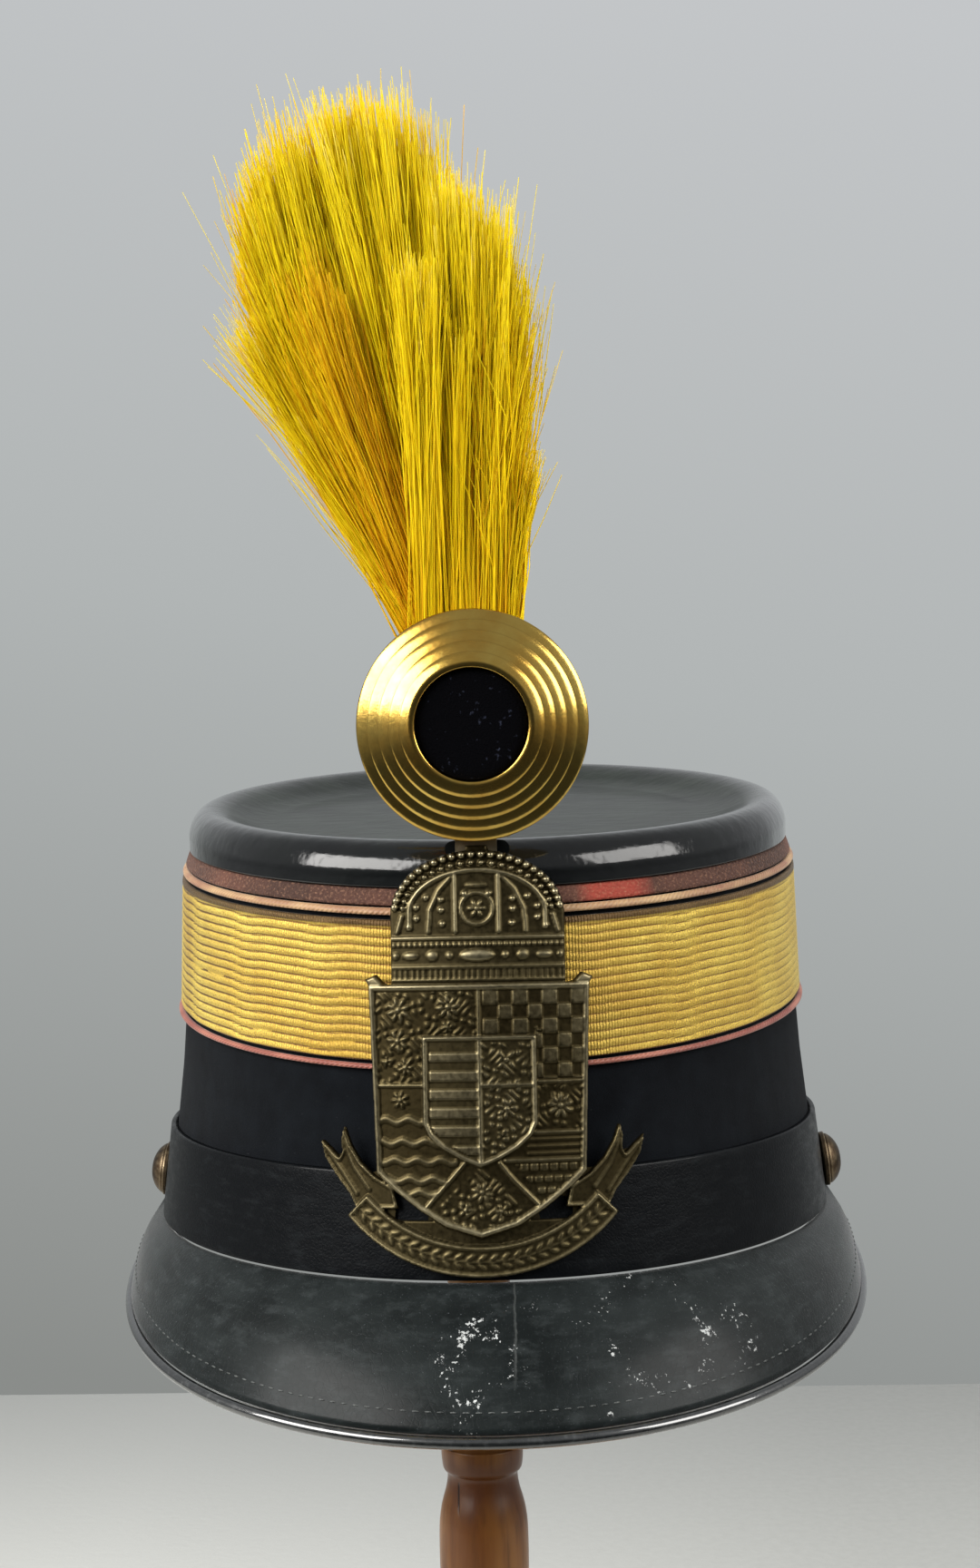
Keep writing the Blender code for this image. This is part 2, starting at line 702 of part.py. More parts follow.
def boss_profile():
    """Stepped boss with a recess in front and a hollow back."""
    lip = BOSS_LIP_DIAMETER / 2
    bore = BOSS_BORE / 2
    outer = BOSS_DIAMETER / 2
    width = (outer - lip) / BOSS_RIDGES
    step = (BOSS_DEPTH - BOSS_RIM) / BOSS_RIDGES
    floor = BOSS_DEPTH - BOSS_RECESS
    profile = [(0, floor), (bore, floor), (bore, BOSS_DEPTH)]
    for ridge in range(BOSS_RIDGES):
        for across, drop in RIDGE_PROFILE:
            profile.append((lip + (ridge + across) * width, BOSS_DEPTH - (ridge + drop) * step))
    back = floor - BOSS_WALL
    return profile + [(outer, 0), (outer - BOSS_WALL, 0), (bore, back), (0, back)]


def build_boss(brass, velvet):
    """The boss in front of the plume's socket, with a dark disc in its recess."""
    height = badge_top() + BOSS_LIFT + BOSS_DIAMETER / 2
    back = socket_axis().y - SOCKET_DIAMETER / 2 - GAP
    boss = turned("cockade_boss", boss_profile(), 28, brass, hat)
    boss.rotation_euler.x = math.pi / 2
    boss.location = (BADGE_SHIFT, back, height)
    radius = CENTER_DIAMETER / 2
    shares = ((0, 1.0), (0.7, 0.9), (0.96, 0.6), (1.0, 0.3), (1.0, 0), (0, 0))
    profile = [(radius * across, CENTER_THICKNESS * rise) for across, rise in shares]
    disc = turned("cockade_center", profile, 24, velvet, hat)
    disc.rotation_euler.x = math.pi / 2
    disc.location = (BADGE_SHIFT, back - BOSS_DEPTH + BOSS_RECESS - GAP, height)


def badge_top():
    """Height of the badge's crown over the rim."""
    foot, lean = badge_frame()
    return foot.z + (SHIELD_TOP + BADGE_CROWN_HEIGHT) * math.cos(lean)


def socket_axis():
    """Foot of the plume's socket, clear of the leather top's front edge and of the badge."""
    edge = felt_half_width(CAP_EDGE) + GAP + CAP_THICKNESS
    front = -OVAL_RATIO * edge + SOCKET_SETBACK
    cap_top = CAP_EDGE + CAP_RISE + LEAN * (front + SOCKET_DIAMETER / 2)
    return Vector((BADGE_SHIFT, front, max(cap_top, badge_top()) + GAP))


def build_holder(material):
    """Strip behind the badge and the socket above it, one plain piece."""
    foot, lean = badge_frame()
    axis = socket_axis()
    upright = Vector((0, math.sin(lean), math.cos(lean)))
    inward = Vector((0, math.cos(lean), -math.sin(lean)))
    end = (axis.z + SOCKET_LENGTH / 4 - foot.z) / math.cos(lean)
    middle = foot + upright * (end - STRIP_LENGTH / 2) + inward * (STRIP_SPACE + STRIP_THICKNESS / 2)
    shape = bmesh.new()
    size = (STRIP_WIDTH, STRIP_THICKNESS, STRIP_LENGTH, 1)
    place = Matrix.Translation(middle) @ Matrix.Rotation(-lean, 4, "X") @ Matrix.Diagonal(size)
    bmesh.ops.create_cube(shape, size=1, matrix=place)
    strip_mesh = bpy.data.meshes.new("strip")
    shape.to_mesh(strip_mesh)
    shape.free()
    strip = bpy.data.objects.new("strip", strip_mesh)
    workshop.objects.link(strip)
    radius = SOCKET_DIAMETER / 2
    floor = SOCKET_LENGTH / 4 + SOCKET_WALL
    profile = [
        (0, floor),
        (radius - SOCKET_WALL, floor),
        (radius - SOCKET_WALL, SOCKET_LENGTH),
        (radius, SOCKET_LENGTH),
        (radius, 0),
        (0, 0),
    ]
    tube = turned("socket", profile, 20, material, None)
    tube.location = axis
    solid = meshed(tube)
    add_part("plume_holder", fused("plume_holder", [solid, strip]), material, hat)


def plume_lock(side, height, depth, thickness, spread):
    """One lock of hair: it leaves the socket, spreads and thins to a tip."""
    root = socket_axis() + Vector((side * PLUME_ROOT_SPREAD, 0, SOCKET_LENGTH + PLUME_HEAD / 2))
    tip = Vector((side * PLUME_REACH, depth * PLUME_DEPTH, height * PLUME_HEIGHT))
    curve = bpy.data.curves.new("lock", "CURVE")
    curve.dimensions = "3D"
    curve.bevel_depth = PLUME_LOCK_RADIUS * thickness
    curve.bevel_resolution = 1
    curve.use_fill_caps = True
    spline = curve.splines.new("POLY")
    stations = (0.0, 0.18, 0.38, 0.58, 0.76, 0.90, 1.0)
    spline.points.add(len(stations) - 1)
    for spot, share in zip(spline.points, stations):
        sideways = 1 - (1 - share) ** spread
        spot.co = (*(root + Vector((tip.x * sideways, tip.y * sideways, tip.z * share))), 1)
        swell = (0.42 + 0.95 * share) * math.sqrt(1 - share ** 3)
        spot.radius = max(swell, PLUME_TIP_RADIUS / curve.bevel_depth)
    drawing = bpy.data.objects.new("lock", curve)
    workshop.objects.link(drawing)
    return meshed(drawing)


def build_plume(material):
    """Locks of horsehair fused to the bound head that stands in the socket."""
    axis = socket_axis()
    radius = SOCKET_DIAMETER / 2 - SOCKET_WALL - GAP
    top = SOCKET_LENGTH + PLUME_HEAD
    foot = SOCKET_LENGTH - PLUME_SHANK
    profile = [(0, top), (radius, top), (radius, foot), (0, foot)]
    shank = turned("shank", profile, 16, material, None)
    shank.location = axis
    pieces = [meshed(shank)] + [plume_lock(*row) for row in PLUME_LOCKS]
    add_part("plume", fused("plume", pieces), material, hat)


def build_stand(material):
    """Turned foot, post and domed head under the hat's top."""
    radius = FOOT_DIAMETER / 2
    foot = [
        (0, FOOT_HEIGHT),
        (radius * 0.42, FOOT_HEIGHT),
        (radius * 0.86, FOOT_HEIGHT * 0.72),
        (radius - FOOT_EDGE / 3, FOOT_HEIGHT * 0.62),
        (radius, FOOT_HEIGHT * 0.45),
        (radius, FOOT_EDGE),
        (radius - FOOT_EDGE, 0),
        (0, 0),
    ]
    turned("stand_foot", foot, 32, material, stand)
    ceiling = RIM_HEIGHT + CAP_EDGE + CAP_SECTIONS[-1][1] * CAP_RISE
    ceiling -= CAP_THICKNESS / math.cos(CROWN_LEAN)
    dome_center = ceiling - (STAND_HEAD_DOME + GAP) / math.cos(CROWN_LEAN)
    head_radius = STAND_HEAD_DIAMETER / 2
    shares = (0, 0.3, 0.6, 0.82, 0.95)
    head = []
    for share in shares:
        across = share * head_radius
        head.append((across, dome_center + math.sqrt(STAND_HEAD_DOME ** 2 - across ** 2)))
    edge = head[-1][1]
    underside = edge - STAND_HEAD_EDGE
    head += [
        (head_radius, edge - STAND_HEAD_EDGE * 0.3),
        (head_radius * 0.98, edge - STAND_HEAD_EDGE * 0.8),
        (head_radius * 0.92, underside),
        (0, underside),
    ]
    turned("stand_head", head, 32, material, stand)
    bottom = FOOT_HEIGHT + GAP
    height = underside - GAP - bottom
    sides = [(share * POST_DIAMETER / 2, bottom + rise * height) for rise, share in POST_SECTIONS]
    post = [(0, sides[-1][1])] + sides[::-1] + [(0, bottom)]
    turned("stand_post", post, 20, material, stand)


felt = finish("navy_felt", (0.012, 0.014, 0.022), 0.95)
patent = finish("patent_leather", (0.010, 0.010, 0.011), 0.15)
strap = finish("lacquered_leather", (0.014, 0.014, 0.016), 0.35)
worn = finish("worn_leather", (0.030, 0.033, 0.034), 0.45)
lace = finish("gold_lace", (0.62, 0.42, 0.12), 0.45, 0.4)
maroon = finish("maroon_braid", (0.13, 0.03, 0.03), 0.8)
red = finish("red_piping", (0.35, 0.09, 0.07), 0.8)
bronze = finish("aged_bronze", (0.16, 0.12, 0.06), 0.45, 0.9)
brass = finish("polished_brass", (0.65, 0.44, 0.14), 0.2, 1.0)
velvet = finish("black_velvet", (0.006, 0.006, 0.006), 1.0)
hair = finish("yellow_horsehair", (0.80, 0.47, 0.02), 0.6)
wood = finish("honey_wood", (0.42, 0.19, 0.07), 0.4)

stand = add_empty("stand", (0, 0, 0))
hat = add_empty("hat", (HAT_SHIFT, 0, RIM_HEIGHT))

body_rows = [
    oval_row(felt_half_width(height), height, lean_at(height))
    for height in wall_levels(0, FELT_HEIGHT)
]
thicken(add_part("crown_body", loft("crown_body", body_rows), felt, hat), FELT_THICKNESS)
build_crown_top(patent)
band("headband", 0, HEADBAND_HEIGHT, HEADBAND_THICKNESS, strap)
band("gold_lace_band", LACE_FOOT, LACE_TOP, LACE_THICKNESS, lace)
band("upper_braid", BRAID_FOOT, BRAID_TOP, BRAID_THICKNESS, maroon)
piping("upper_piping", UPPER_PIPING, red)
piping("lower_piping", LOWER_PIPING, red)
build_peak(worn, strap)
build_buttons(bronze)
build_badge(bronze)
build_boss(brass, velvet)
build_holder(bronze)
build_plume(hair)
build_stand(wood)
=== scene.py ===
"""Finished looks of a black shako with a yellow horsehair plume, held by a turned wooden stand.

Metres, +Z up. The hat's front faces -Y, and the origin is under the middle of the stand's foot.
"""

import math

import bpy
import numpy as np
from mathutils import Euler, Matrix, Vector


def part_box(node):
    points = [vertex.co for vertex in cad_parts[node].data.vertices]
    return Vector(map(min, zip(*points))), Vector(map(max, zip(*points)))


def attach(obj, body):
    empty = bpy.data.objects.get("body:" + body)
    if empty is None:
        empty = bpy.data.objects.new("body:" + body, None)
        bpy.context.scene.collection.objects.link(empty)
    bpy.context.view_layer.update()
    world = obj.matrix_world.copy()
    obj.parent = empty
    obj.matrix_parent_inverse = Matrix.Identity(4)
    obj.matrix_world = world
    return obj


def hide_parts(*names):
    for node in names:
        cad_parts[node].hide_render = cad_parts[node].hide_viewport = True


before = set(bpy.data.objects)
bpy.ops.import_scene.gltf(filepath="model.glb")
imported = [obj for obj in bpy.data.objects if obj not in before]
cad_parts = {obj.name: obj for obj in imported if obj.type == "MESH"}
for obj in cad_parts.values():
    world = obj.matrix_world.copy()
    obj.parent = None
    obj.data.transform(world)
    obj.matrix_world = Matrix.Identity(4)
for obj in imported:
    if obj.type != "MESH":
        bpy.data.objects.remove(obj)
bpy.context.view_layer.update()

# Room: a pale table top before a plain grey studio wall; the room behind the camera is dim. Two soft
# windows stand left and right of the hat and a soft light hangs over it. The camera looks at the
# hat's front through a long lens from just over the rim.
PHOTO_HEIGHT = 1728
FOCAL_PIXELS = 2498.8
CAMERA_PLACE = (0.02497, -0.58194, 0.30987)
CAMERA_YAW = math.radians(1.91)
CAMERA_PITCH = math.radians(-0.48)
CAMERA_ROLL = math.radians(-1.19)
TABLE_EDGE = 0.54
TABLE_FRONT = -0.30
TABLE_HALF_WIDTH = 1.1
TABLE_THICKNESS = 0.04


class Tone:
    """A socket that takes part in sums, so that a pattern is written as a formula."""

    def __init__(self, shading, socket):
        self.shading = shading
        self.socket = socket

    def worked(self, operation, *values):
        return self.shading.node("Math", {"operation": operation}, dict(enumerate(values)))

    def __add__(self, other):
        return self.worked("ADD", self, other)

    def __sub__(self, other):
        return self.worked("SUBTRACT", self, other)

    def __rsub__(self, other):
        return self.worked("SUBTRACT", other, self)

    def __mul__(self, other):
        return self.worked("MULTIPLY", self, other)

    def __abs__(self):
        return self.worked("ABSOLUTE", self)

    __radd__ = __add__
    __rmul__ = __mul__


class Shading:
    """The nodes that feed a surface of a piece or the light of the room."""

    def __init__(self, tree):
        self.tree = tree

    def node(self, kind, settings, sockets, output=0):
        """Any node: its type, its settings, and the values or links of its sockets."""
        made = self.tree.nodes.new("ShaderNode" + kind)
        for name, value in settings.items():
            if name == "stops":
                ramp = made.color_ramp.elements
                while len(ramp) < len(value):
                    ramp.new(0.5)
                for stop, (place, tint) in zip(ramp, value):
                    stop.position = place
                    stop.color = (*tint, 1.0)
            else:
                setattr(made, name, value)
        self.feed(made, sockets)
        return Tone(self, made.outputs[output])

    def feed(self, node, sockets):
        """Set or link sockets, with colours given as three numbers."""
        for name, value in sockets.items():
            socket = node.inputs[name]
            if isinstance(value, Tone):
                self.tree.links.new(value.socket, socket)
            else:
                socket.default_value = (*value, 1.0) if socket.type == "RGBA" else value

    def axis(self, name, source="Object"):
        """How far a point lies along one axis."""
        return self.node("SeparateXYZ", {}, {0: self.node("TexCoord", {}, {}, source)}, name)

    def place(self, stretch=(1, 1, 1), source="UV"):
        """Where a point lies, stretched by a scale along each axis."""
        spot = self.node("TexCoord", {}, {}, source)
        return self.node("Mapping", {}, {"Vector": spot, "Scale": stretch})

    def noise(self, scale, detail=3.0, roughness=0.55, stretch=(1, 1, 1), source="UV"):
        """Uneven mottling, finer with a larger scale."""
        sockets = {"Scale": scale, "Detail": detail, "Roughness": roughness}
        return self.node("TexNoise", {}, {"Vector": self.place(stretch, source), **sockets})

    def cell_edges(self, scale):
        """How far a point lies from the edge of its cell, in a net of uneven cells."""
        sockets = {"Vector": self.place(), "Scale": scale}
        return self.node("TexVoronoi", {"feature": "DISTANCE_TO_EDGE"}, sockets)

    def spread(self, value, low, high, to_low=0.0, to_high=1.0):
        """A value brought from one range to another and held at its ends."""
        return self.node("MapRange", {}, {"Value": value, 1: low, 2: high, 3: to_low, 4: to_high})

    def mix(self, first, second, share):
        """A colour between two, or the second laid over the first by a mask."""
        return self.node("Mix", {"data_type": "RGBA"}, {0: share, 6: first, 7: second}, 2)

    def bump(self, height, distance, strength=1.0):
        return self.node("Bump", {}, {"Height": height, "Distance": distance, "Strength": strength})


class Finish(Shading):
    """One surface finish: a Principled shader, its fixed numbers and the nodes that feed it."""

    def __init__(self, name, fixed):
        self.material = bpy.data.materials.new(name)
        self.material.use_nodes = True
        super().__init__(self.material.node_tree)
        self.shader = self.tree.nodes["Principled BSDF"]
        self.feed(self.shader, fixed)

    def paint(self, sockets):
        """Feed what varies over the surface to the shader."""
        self.feed(self.shader, sockets)


def grid_corners(rows, columns):
    """Row and column of the four corners of every face of a grid, before it closes on itself."""
    low, left = np.meshgrid(np.arange(rows), np.arange(columns), indexing="ij")
    row_corners = np.stack([low, low, low + 1, low + 1], axis=-1)
    return row_corners, np.stack([left, left + 1, left + 1, left], axis=-1)


def make_piece(name, points, faces, finish, layout=None):
    """A smooth piece with its finish, from points, four-sided faces and the layout of their corners."""
    mesh = bpy.data.meshes.new(name)
    mesh.from_pydata(points.reshape(-1, 3).tolist(), [], faces.reshape(-1, 4).tolist())
    if layout is not None:
        mesh.uv_layers.new(name="layout").data.foreach_set("uv", layout.ravel())
    mesh.shade_smooth()
    mesh.materials.append(finish.material)
    piece = bpy.data.objects.new(name, mesh)
    bpy.context.scene.collection.objects.link(piece)
    return piece


def sheet(name, rows, finish, wrap_columns=False, wrap_rows=False):
    """A smooth mesh through a grid of points, laid out in metres for its finish."""
    count_rows, count_columns = rows.shape[:2]
    row, column = grid_corners(count_rows - (not wrap_rows), count_columns - (not wrap_columns))
    across = np.linalg.norm(np.roll(rows, -1, axis=1) - rows, axis=2).mean(axis=0)
    along = np.linalg.norm(np.roll(rows, -1, axis=0) - rows, axis=2).mean(axis=1)
    across = np.concatenate([[0.0], np.cumsum(across)])
    along = np.concatenate([[0.0], np.cumsum(along)])
    faces = row % count_rows * count_columns + column % count_columns
    return make_piece(name, rows, faces, finish, np.stack([across[column], along[row]], axis=-1))


camera_data = bpy.data.cameras.new("long_lens")
camera_data.lens = camera_data.sensor_width * FOCAL_PIXELS / PHOTO_HEIGHT
camera = bpy.data.objects.new("camera", camera_data)
bpy.context.scene.collection.objects.link(camera)
facing_hat = Euler((math.radians(90) + CAMERA_PITCH, 0, CAMERA_YAW)).to_matrix()
held_askew = facing_hat @ Matrix.Rotation(CAMERA_ROLL, 3, "Z")
camera.matrix_world = Matrix.Translation(CAMERA_PLACE) @ held_askew.to_4x4()
bpy.context.scene.camera = camera

# Each light: name, place, the point it faces, width, height, power in watts, colour, and how far it
# fans out in degrees. The one on the plume has a grid before it.
LIGHTS = (
    ("window_left", (-1.07, -0.81, 0.95), (0, 0, 0.30), 1.15, 0.80, 34.0, (1.0, 0.98, 0.95), 180),
    ("window_right", (1.20, -0.54, 0.95), (0, 0, 0.30), 0.95, 0.80, 17.5, (1.0, 0.98, 0.95), 180),
    ("overhead", (0.0, 0.60, 1.40), (0, 0.18, 0), 1.40, 0.60, 15.0, (0.98, 0.99, 1.0), 180),
    ("plume_light", (-0.12, -0.75, 0.82), (-0.008, -0.09, 0.415), 0.36, 0.36, 0.066, (1, 0.98, 0.95), 24),
)
for name, place, target, width, height, power, tint, fan in LIGHTS:
    lamp = bpy.data.lights.new(name, "AREA")
    lamp.shape = "RECTANGLE"
    lamp.size = width
    lamp.size_y = height
    lamp.energy = power
    lamp.color = tint
    lamp.spread = math.radians(fan)
    light = bpy.data.objects.new(name, lamp)
    bpy.context.scene.collection.objects.link(light)
    light.visible_glossy = "window" in name
    light.location = place
    light.rotation_euler = (Vector(place) - Vector(target)).to_track_quat("Z", "Y").to_euler()

bpy.context.scene.view_settings.view_transform = "Standard"
WALL_TONES = (
    (0.35, (0.255, 0.265, 0.255)), (0.52, (0.440, 0.462, 0.462)), (0.67, (0.550, 0.566, 0.580)),
)
world = bpy.data.worlds.new("grey_studio")
world.use_nodes = True
bpy.context.scene.world = world
studio = Shading(world.node_tree)
sideways, inward, upward = (studio.axis(name, "Generated") for name in "XYZ")
wall = studio.node("ValToRGB", {"stops": WALL_TONES}, {"Fac": upward * 0.5 + 0.5 + sideways * 0.11})
above = studio.spread(abs(sideways) * 0.60 + upward, 0.22, 0.70)
dim_room = studio.mix((0.040, 0.044, 0.048), (0.36, 0.37, 0.38), above)
room = studio.mix(dim_room, wall, studio.spread(inward, 0.45, 0.86))
studio.feed(world.node_tree.nodes["Background"], {"Color": room})

table_finish = Finish("pale_table", {"Roughness": 0.6})
table_spots = table_finish.noise(260.0, 4.0, source="Object")
# Painted shade: the table top darkens towards the right.
painted_shade_right = table_finish.spread(table_finish.axis("X"), -0.16, 0.14)
shaded_table_tone = table_finish.mix((0.50, 0.50, 0.47), (0.36, 0.36, 0.337), painted_shade_right)
table_finish.paint({
    "Base Color": table_finish.mix(shaded_table_tone, (0.52, 0.52, 0.49), table_spots * 0.5),
    "Normal": table_finish.bump(table_spots, 0.0002),
})
table_rows = np.array([
    [(-TABLE_HALF_WIDTH, level, 0), (TABLE_HALF_WIDTH, level, 0)] for level in (TABLE_FRONT, TABLE_EDGE)
])
table = sheet("table_top", table_rows, table_finish)
slab = table.modifiers.new("slab", "SOLIDIFY")
slab.thickness = TABLE_THICKNESS
slab.offset = -1

# Stand: foot, post and domed head turned from one kind of light hardwood, stained honey brown and
# lacquered. The post has a collar and a neck just under the peak, where the wood has a short crack.
FOOT_RADIUS = 0.0850
FOOT_HEIGHT = 0.0200
POST_RADIUS = 0.01145
HEAD_RADIUS = 0.0540
NECK_SHARE = 0.446
TURNING_STEPS = 96


def smooth_line(points, count):
    """Points along a soft curve that passes through a few given ones."""
    points = np.array(points, float)
    ahead = np.concatenate([points[1:], 2 * points[-1:] - points[-2:-1]])
    behind = np.concatenate([2 * points[:1] - points[1:2], points[:-1]])
    slopes = (ahead - behind) / 2
    shares = np.linspace(0, len(points) - 1, count)
    first = np.minimum(shares.astype(int), len(points) - 2)
    share = (shares - first)[:, None]
    start, end = points[first], points[first + 1]
    swing = share * share * (3 - 2 * share)
    rise = share * (1 - share) ** 2 * slopes[first]
    fall = share * share * (share - 1) * slopes[first + 1]
    return start + (end - start) * swing + rise + fall


def full_turn(count):
    """Angles of evenly spaced points round a circle."""
    return np.linspace(0, 2 * np.pi, count, endpoint=False)


def turned(name, profile, finish, steps=TURNING_STEPS):
    """A piece turned on a lathe, from pairs of radius and height."""
    turns = full_turn(steps)
    radius, height = np.array(profile, float).T[:, :, None]
    rows = np.stack([radius * np.sin(turns), -radius * np.cos(turns), height + 0 * turns], axis=2)
    return sheet(name, rows[::-1], finish, wrap_columns=True)


def fit(piece, node):
    """Lets a piece stand in for a CAD node, fixed to the one body."""
    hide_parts(node)
    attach(piece, "root")


head_low, head_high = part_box("stand_head")
post_low, post_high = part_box("stand_post")
neck_level = post_low.z + NECK_SHARE * (post_high.z - post_low.z)


def stained_wood(name, stretch):
    """Honey-brown hardwood whose grain runs along the axis with the small stretch."""
    wood = Finish(name, {"Coat Weight": 0.18, "Coat Roughness": 0.2, "Specular IOR Level": 0.25})
    grain = wood.noise(420.0, 6.0, 0.65, stretch, "Object")
    streaks = wood.noise(110.0, 3.0, 0.55, stretch, "Object")
    patches = wood.noise(26.0, 2.0, stretch=(1, 1, 0.5), source="Object")
    wood_tone = wood.spread(streaks * 0.55 + patches * 0.75, 0.50, 0.80)
    stained = wood.mix((0.120, 0.042, 0.009), (0.350, 0.165, 0.042), wood_tone)
    pores = wood.spread(grain, 0.36, 0.50, 0.72, 1.0)
    darkened = {"data_type": "RGBA", "blend_type": "MULTIPLY"}
    stained = wood.node("Mix", darkened, {0: 1.0, 6: stained, 7: pores}, 2)
    wood_level = wood.axis("Z")
    wood_across = wood.axis("X")
    from_neck = abs(wood_level - neck_level)
    # Darker round the neck: partly pooled varnish, partly the peak's shadow painted on.
    varnish_and_peak_shadow = wood.spread(from_neck + (streaks - 0.5) * 0.010, 0.0130, 0.0030)
    stained = wood.mix(stained, (0.060, 0.017, 0.005), varnish_and_peak_shadow * 0.85)
    from_crack = abs(wood_across + 0.0059 + (streaks - 0.5) * 0.0012)
    crack = wood.spread(from_crack, 0.00034, 0.00008)
    crack = crack * wood.spread(wood_level, neck_level - 0.0085, neck_level - 0.0060)
    crack = crack * wood.spread(wood_level, neck_level - 0.0005, neck_level - 0.0015)
    wood.paint({
        "Base Color": wood.mix(stained, (0.012, 0.005, 0.002), crack),
        "Roughness": wood.spread(grain, 0.3, 0.7, 0.42, 0.30),
        "Normal": wood.bump(grain - crack * 3.0, 0.00012, 0.6),
    })
    return wood


post_wood = stained_wood("honey_wood_upright", (1, 1, 0.09))
plank_wood = stained_wood("honey_wood_plank", (0.09, 1, 1))
# Foot and head: share of the radius, and share of the foot's height or depth under the dome's top
FOOT_CURVE = (
    (0.0, 1.0), (0.22, 1.0), (0.44, 0.985), (0.66, 0.89), (0.88, 0.71), (0.985, 0.63), (1.0, 0.50),
    (1.0, 0.30), (1.0, 0.12),
)
HEAD_CURVE = (
    (0.0, 0.0), (0.30, 0.051), (0.60, 0.208), (0.82, 0.41), (0.95, 0.575), (1.0, 0.70), (0.985, 0.90),
    (0.94, 0.97),
)
foot_shares = np.concatenate([smooth_line(FOOT_CURVE, 72), [(0.985, 0.0), (0.6, 0.0), (0.0, 0.0)]])
stand_foot = turned("stand_foot_turned", foot_shares * (FOOT_RADIUS, FOOT_HEIGHT), plank_wood)

# Post: share of its height, share of its largest radius
POST_CURVE = (
    (0.000, 0.90), (0.014, 1.13), (0.036, 1.13), (0.052, 0.80), (0.160, 0.89), (0.300, 0.98),
    (0.378, 1.00), (0.408, 0.95), (0.432, 0.82), (0.446, 0.79), (0.454, 0.89), (0.476, 0.91),
    (0.484, 0.76), (0.740, 0.70), (1.000, 0.85),
)
post_shares = smooth_line(POST_CURVE, 140)
post_levels = post_low.z + post_shares[:, 0] * (post_high.z - post_low.z)
post_curve = np.stack([post_shares[:, 1] * POST_RADIUS, post_levels], axis=1)
post_curve = np.concatenate([[(0, post_high.z)], post_curve[::-1], [(0, post_low.z)]])
stand_post = turned("stand_post_turned", post_curve, post_wood)

head_shares = np.concatenate([smooth_line(HEAD_CURVE, 60), [(0.90, 1.0), (0.0, 1.0)]])
head_curve = head_shares * (HEAD_RADIUS, head_low.z - head_high.z) + (0, head_high.z)
stand_head = turned("stand_head_turned", head_curve, plank_wood)
for piece, node in ((stand_foot, "stand_foot"), (stand_post, "stand_post"), (stand_head, "stand_head")):
    fit(piece, node)

# Body: a stiff tube of thick navy felt, nearly black, pressed over an oval block. It is wider at
# the rim than at the top, and its crown leans forward.
HAT_PLACE = np.array((0.0048, 0.0, 0.2000))
OVAL_RATIO = 1.2
RIM_HALF_WIDTH = 0.0823
TOP_HALF_WIDTH = 0.0735
FELT_HEIGHT = 0.0955
FELT_THICKNESS = 0.0025
CROWN_LEAN = math.tan(math.radians(5.6))
SEAM_GAP = 0.0003
WALL_STEPS = 216
# Wall: share of the height, share of the spread from top to rim, share of the lean
WALL_CURVE = np.array((
    (0.000, 1.000, 0.00), (0.236, 0.713, 0.00), (0.400, 0.520, 0.45), (0.580, 0.386, 1.00),
    (0.894, 0.283, 1.00), (0.966, 0.010, 1.00), (1.000, 0.000, 1.00),
))


def wall_half_width(height):
    """Half width of the felt body at a height over the rim."""
    spread = np.interp(height / FELT_HEIGHT, WALL_CURVE[:, 0], WALL_CURVE[:, 1])
    return TOP_HALF_WIDTH + spread * (RIM_HALF_WIDTH - TOP_HALF_WIDTH)


def wall_lean(height):
    """Slope of the level at a height: the crown is lower in front than behind."""
    return CROWN_LEAN * np.interp(height / FELT_HEIGHT, WALL_CURVE[:, 0], WALL_CURVE[:, 2])


def oval_points(half_width, height, lean, turn, outset):
    """Points of a leaning oval round the hat, pushed outward by the outset."""
    half_width, height, lean, turn, outset = np.broadcast_arrays(half_width, height, lean, turn, outset)
    x = half_width * np.sin(turn)
    y = -OVAL_RATIO * half_width * np.cos(turn)
    out_x, out_y = np.sin(turn) / half_width, -np.cos(turn) / (OVAL_RATIO * half_width)
    reach = outset / np.hypot(out_x, out_y)
    points = np.stack([x + out_x * reach, y + out_y * reach, height + lean * y], axis=-1)
    return points + HAT_PLACE


def hoop(name, section, finish, relief=None):
    """A ring laid round the felt, from a closed section of heights and outsets."""
    height, outset = np.array(section, float).T[:, :, None]
    turn = full_turn(WALL_STEPS)[None, :] + np.pi
    if relief is not None:
        outset = outset + relief(height, outset, turn)
    rows = oval_points(wall_half_width(height), height, wall_lean(height), turn, outset)
    return sheet(name, rows, finish, wrap_columns=True, wrap_rows=True)


def rounded_section(bottom, top, inside, outside, radius, rows):
    """A strip's section with softly rounded outer edges."""
    arc = np.linspace(0, np.pi / 2, 5)
    inset = radius * (1 - np.sin(arc))
    curve = outside - radius * (1 - np.cos(arc))
    flat = np.linspace(bottom + radius, top - radius, rows)[1:-1]
    heights = np.concatenate([bottom + inset[::-1], flat, top - inset, np.linspace(top, bottom, 12)])
    outsets = np.concatenate([curve[::-1], np.full(rows - 2, outside), curve, np.full(12, inside)])
    return np.stack([heights, outsets], axis=1)


def band(name, top, height, thickness, finish, radius, rows, relief=None):
    """A flat band that lies on the felt all round."""
    section = rounded_section(top - height, top, SEAM_GAP, SEAM_GAP + thickness, radius, rows)
    return hoop(name, section, finish, relief)


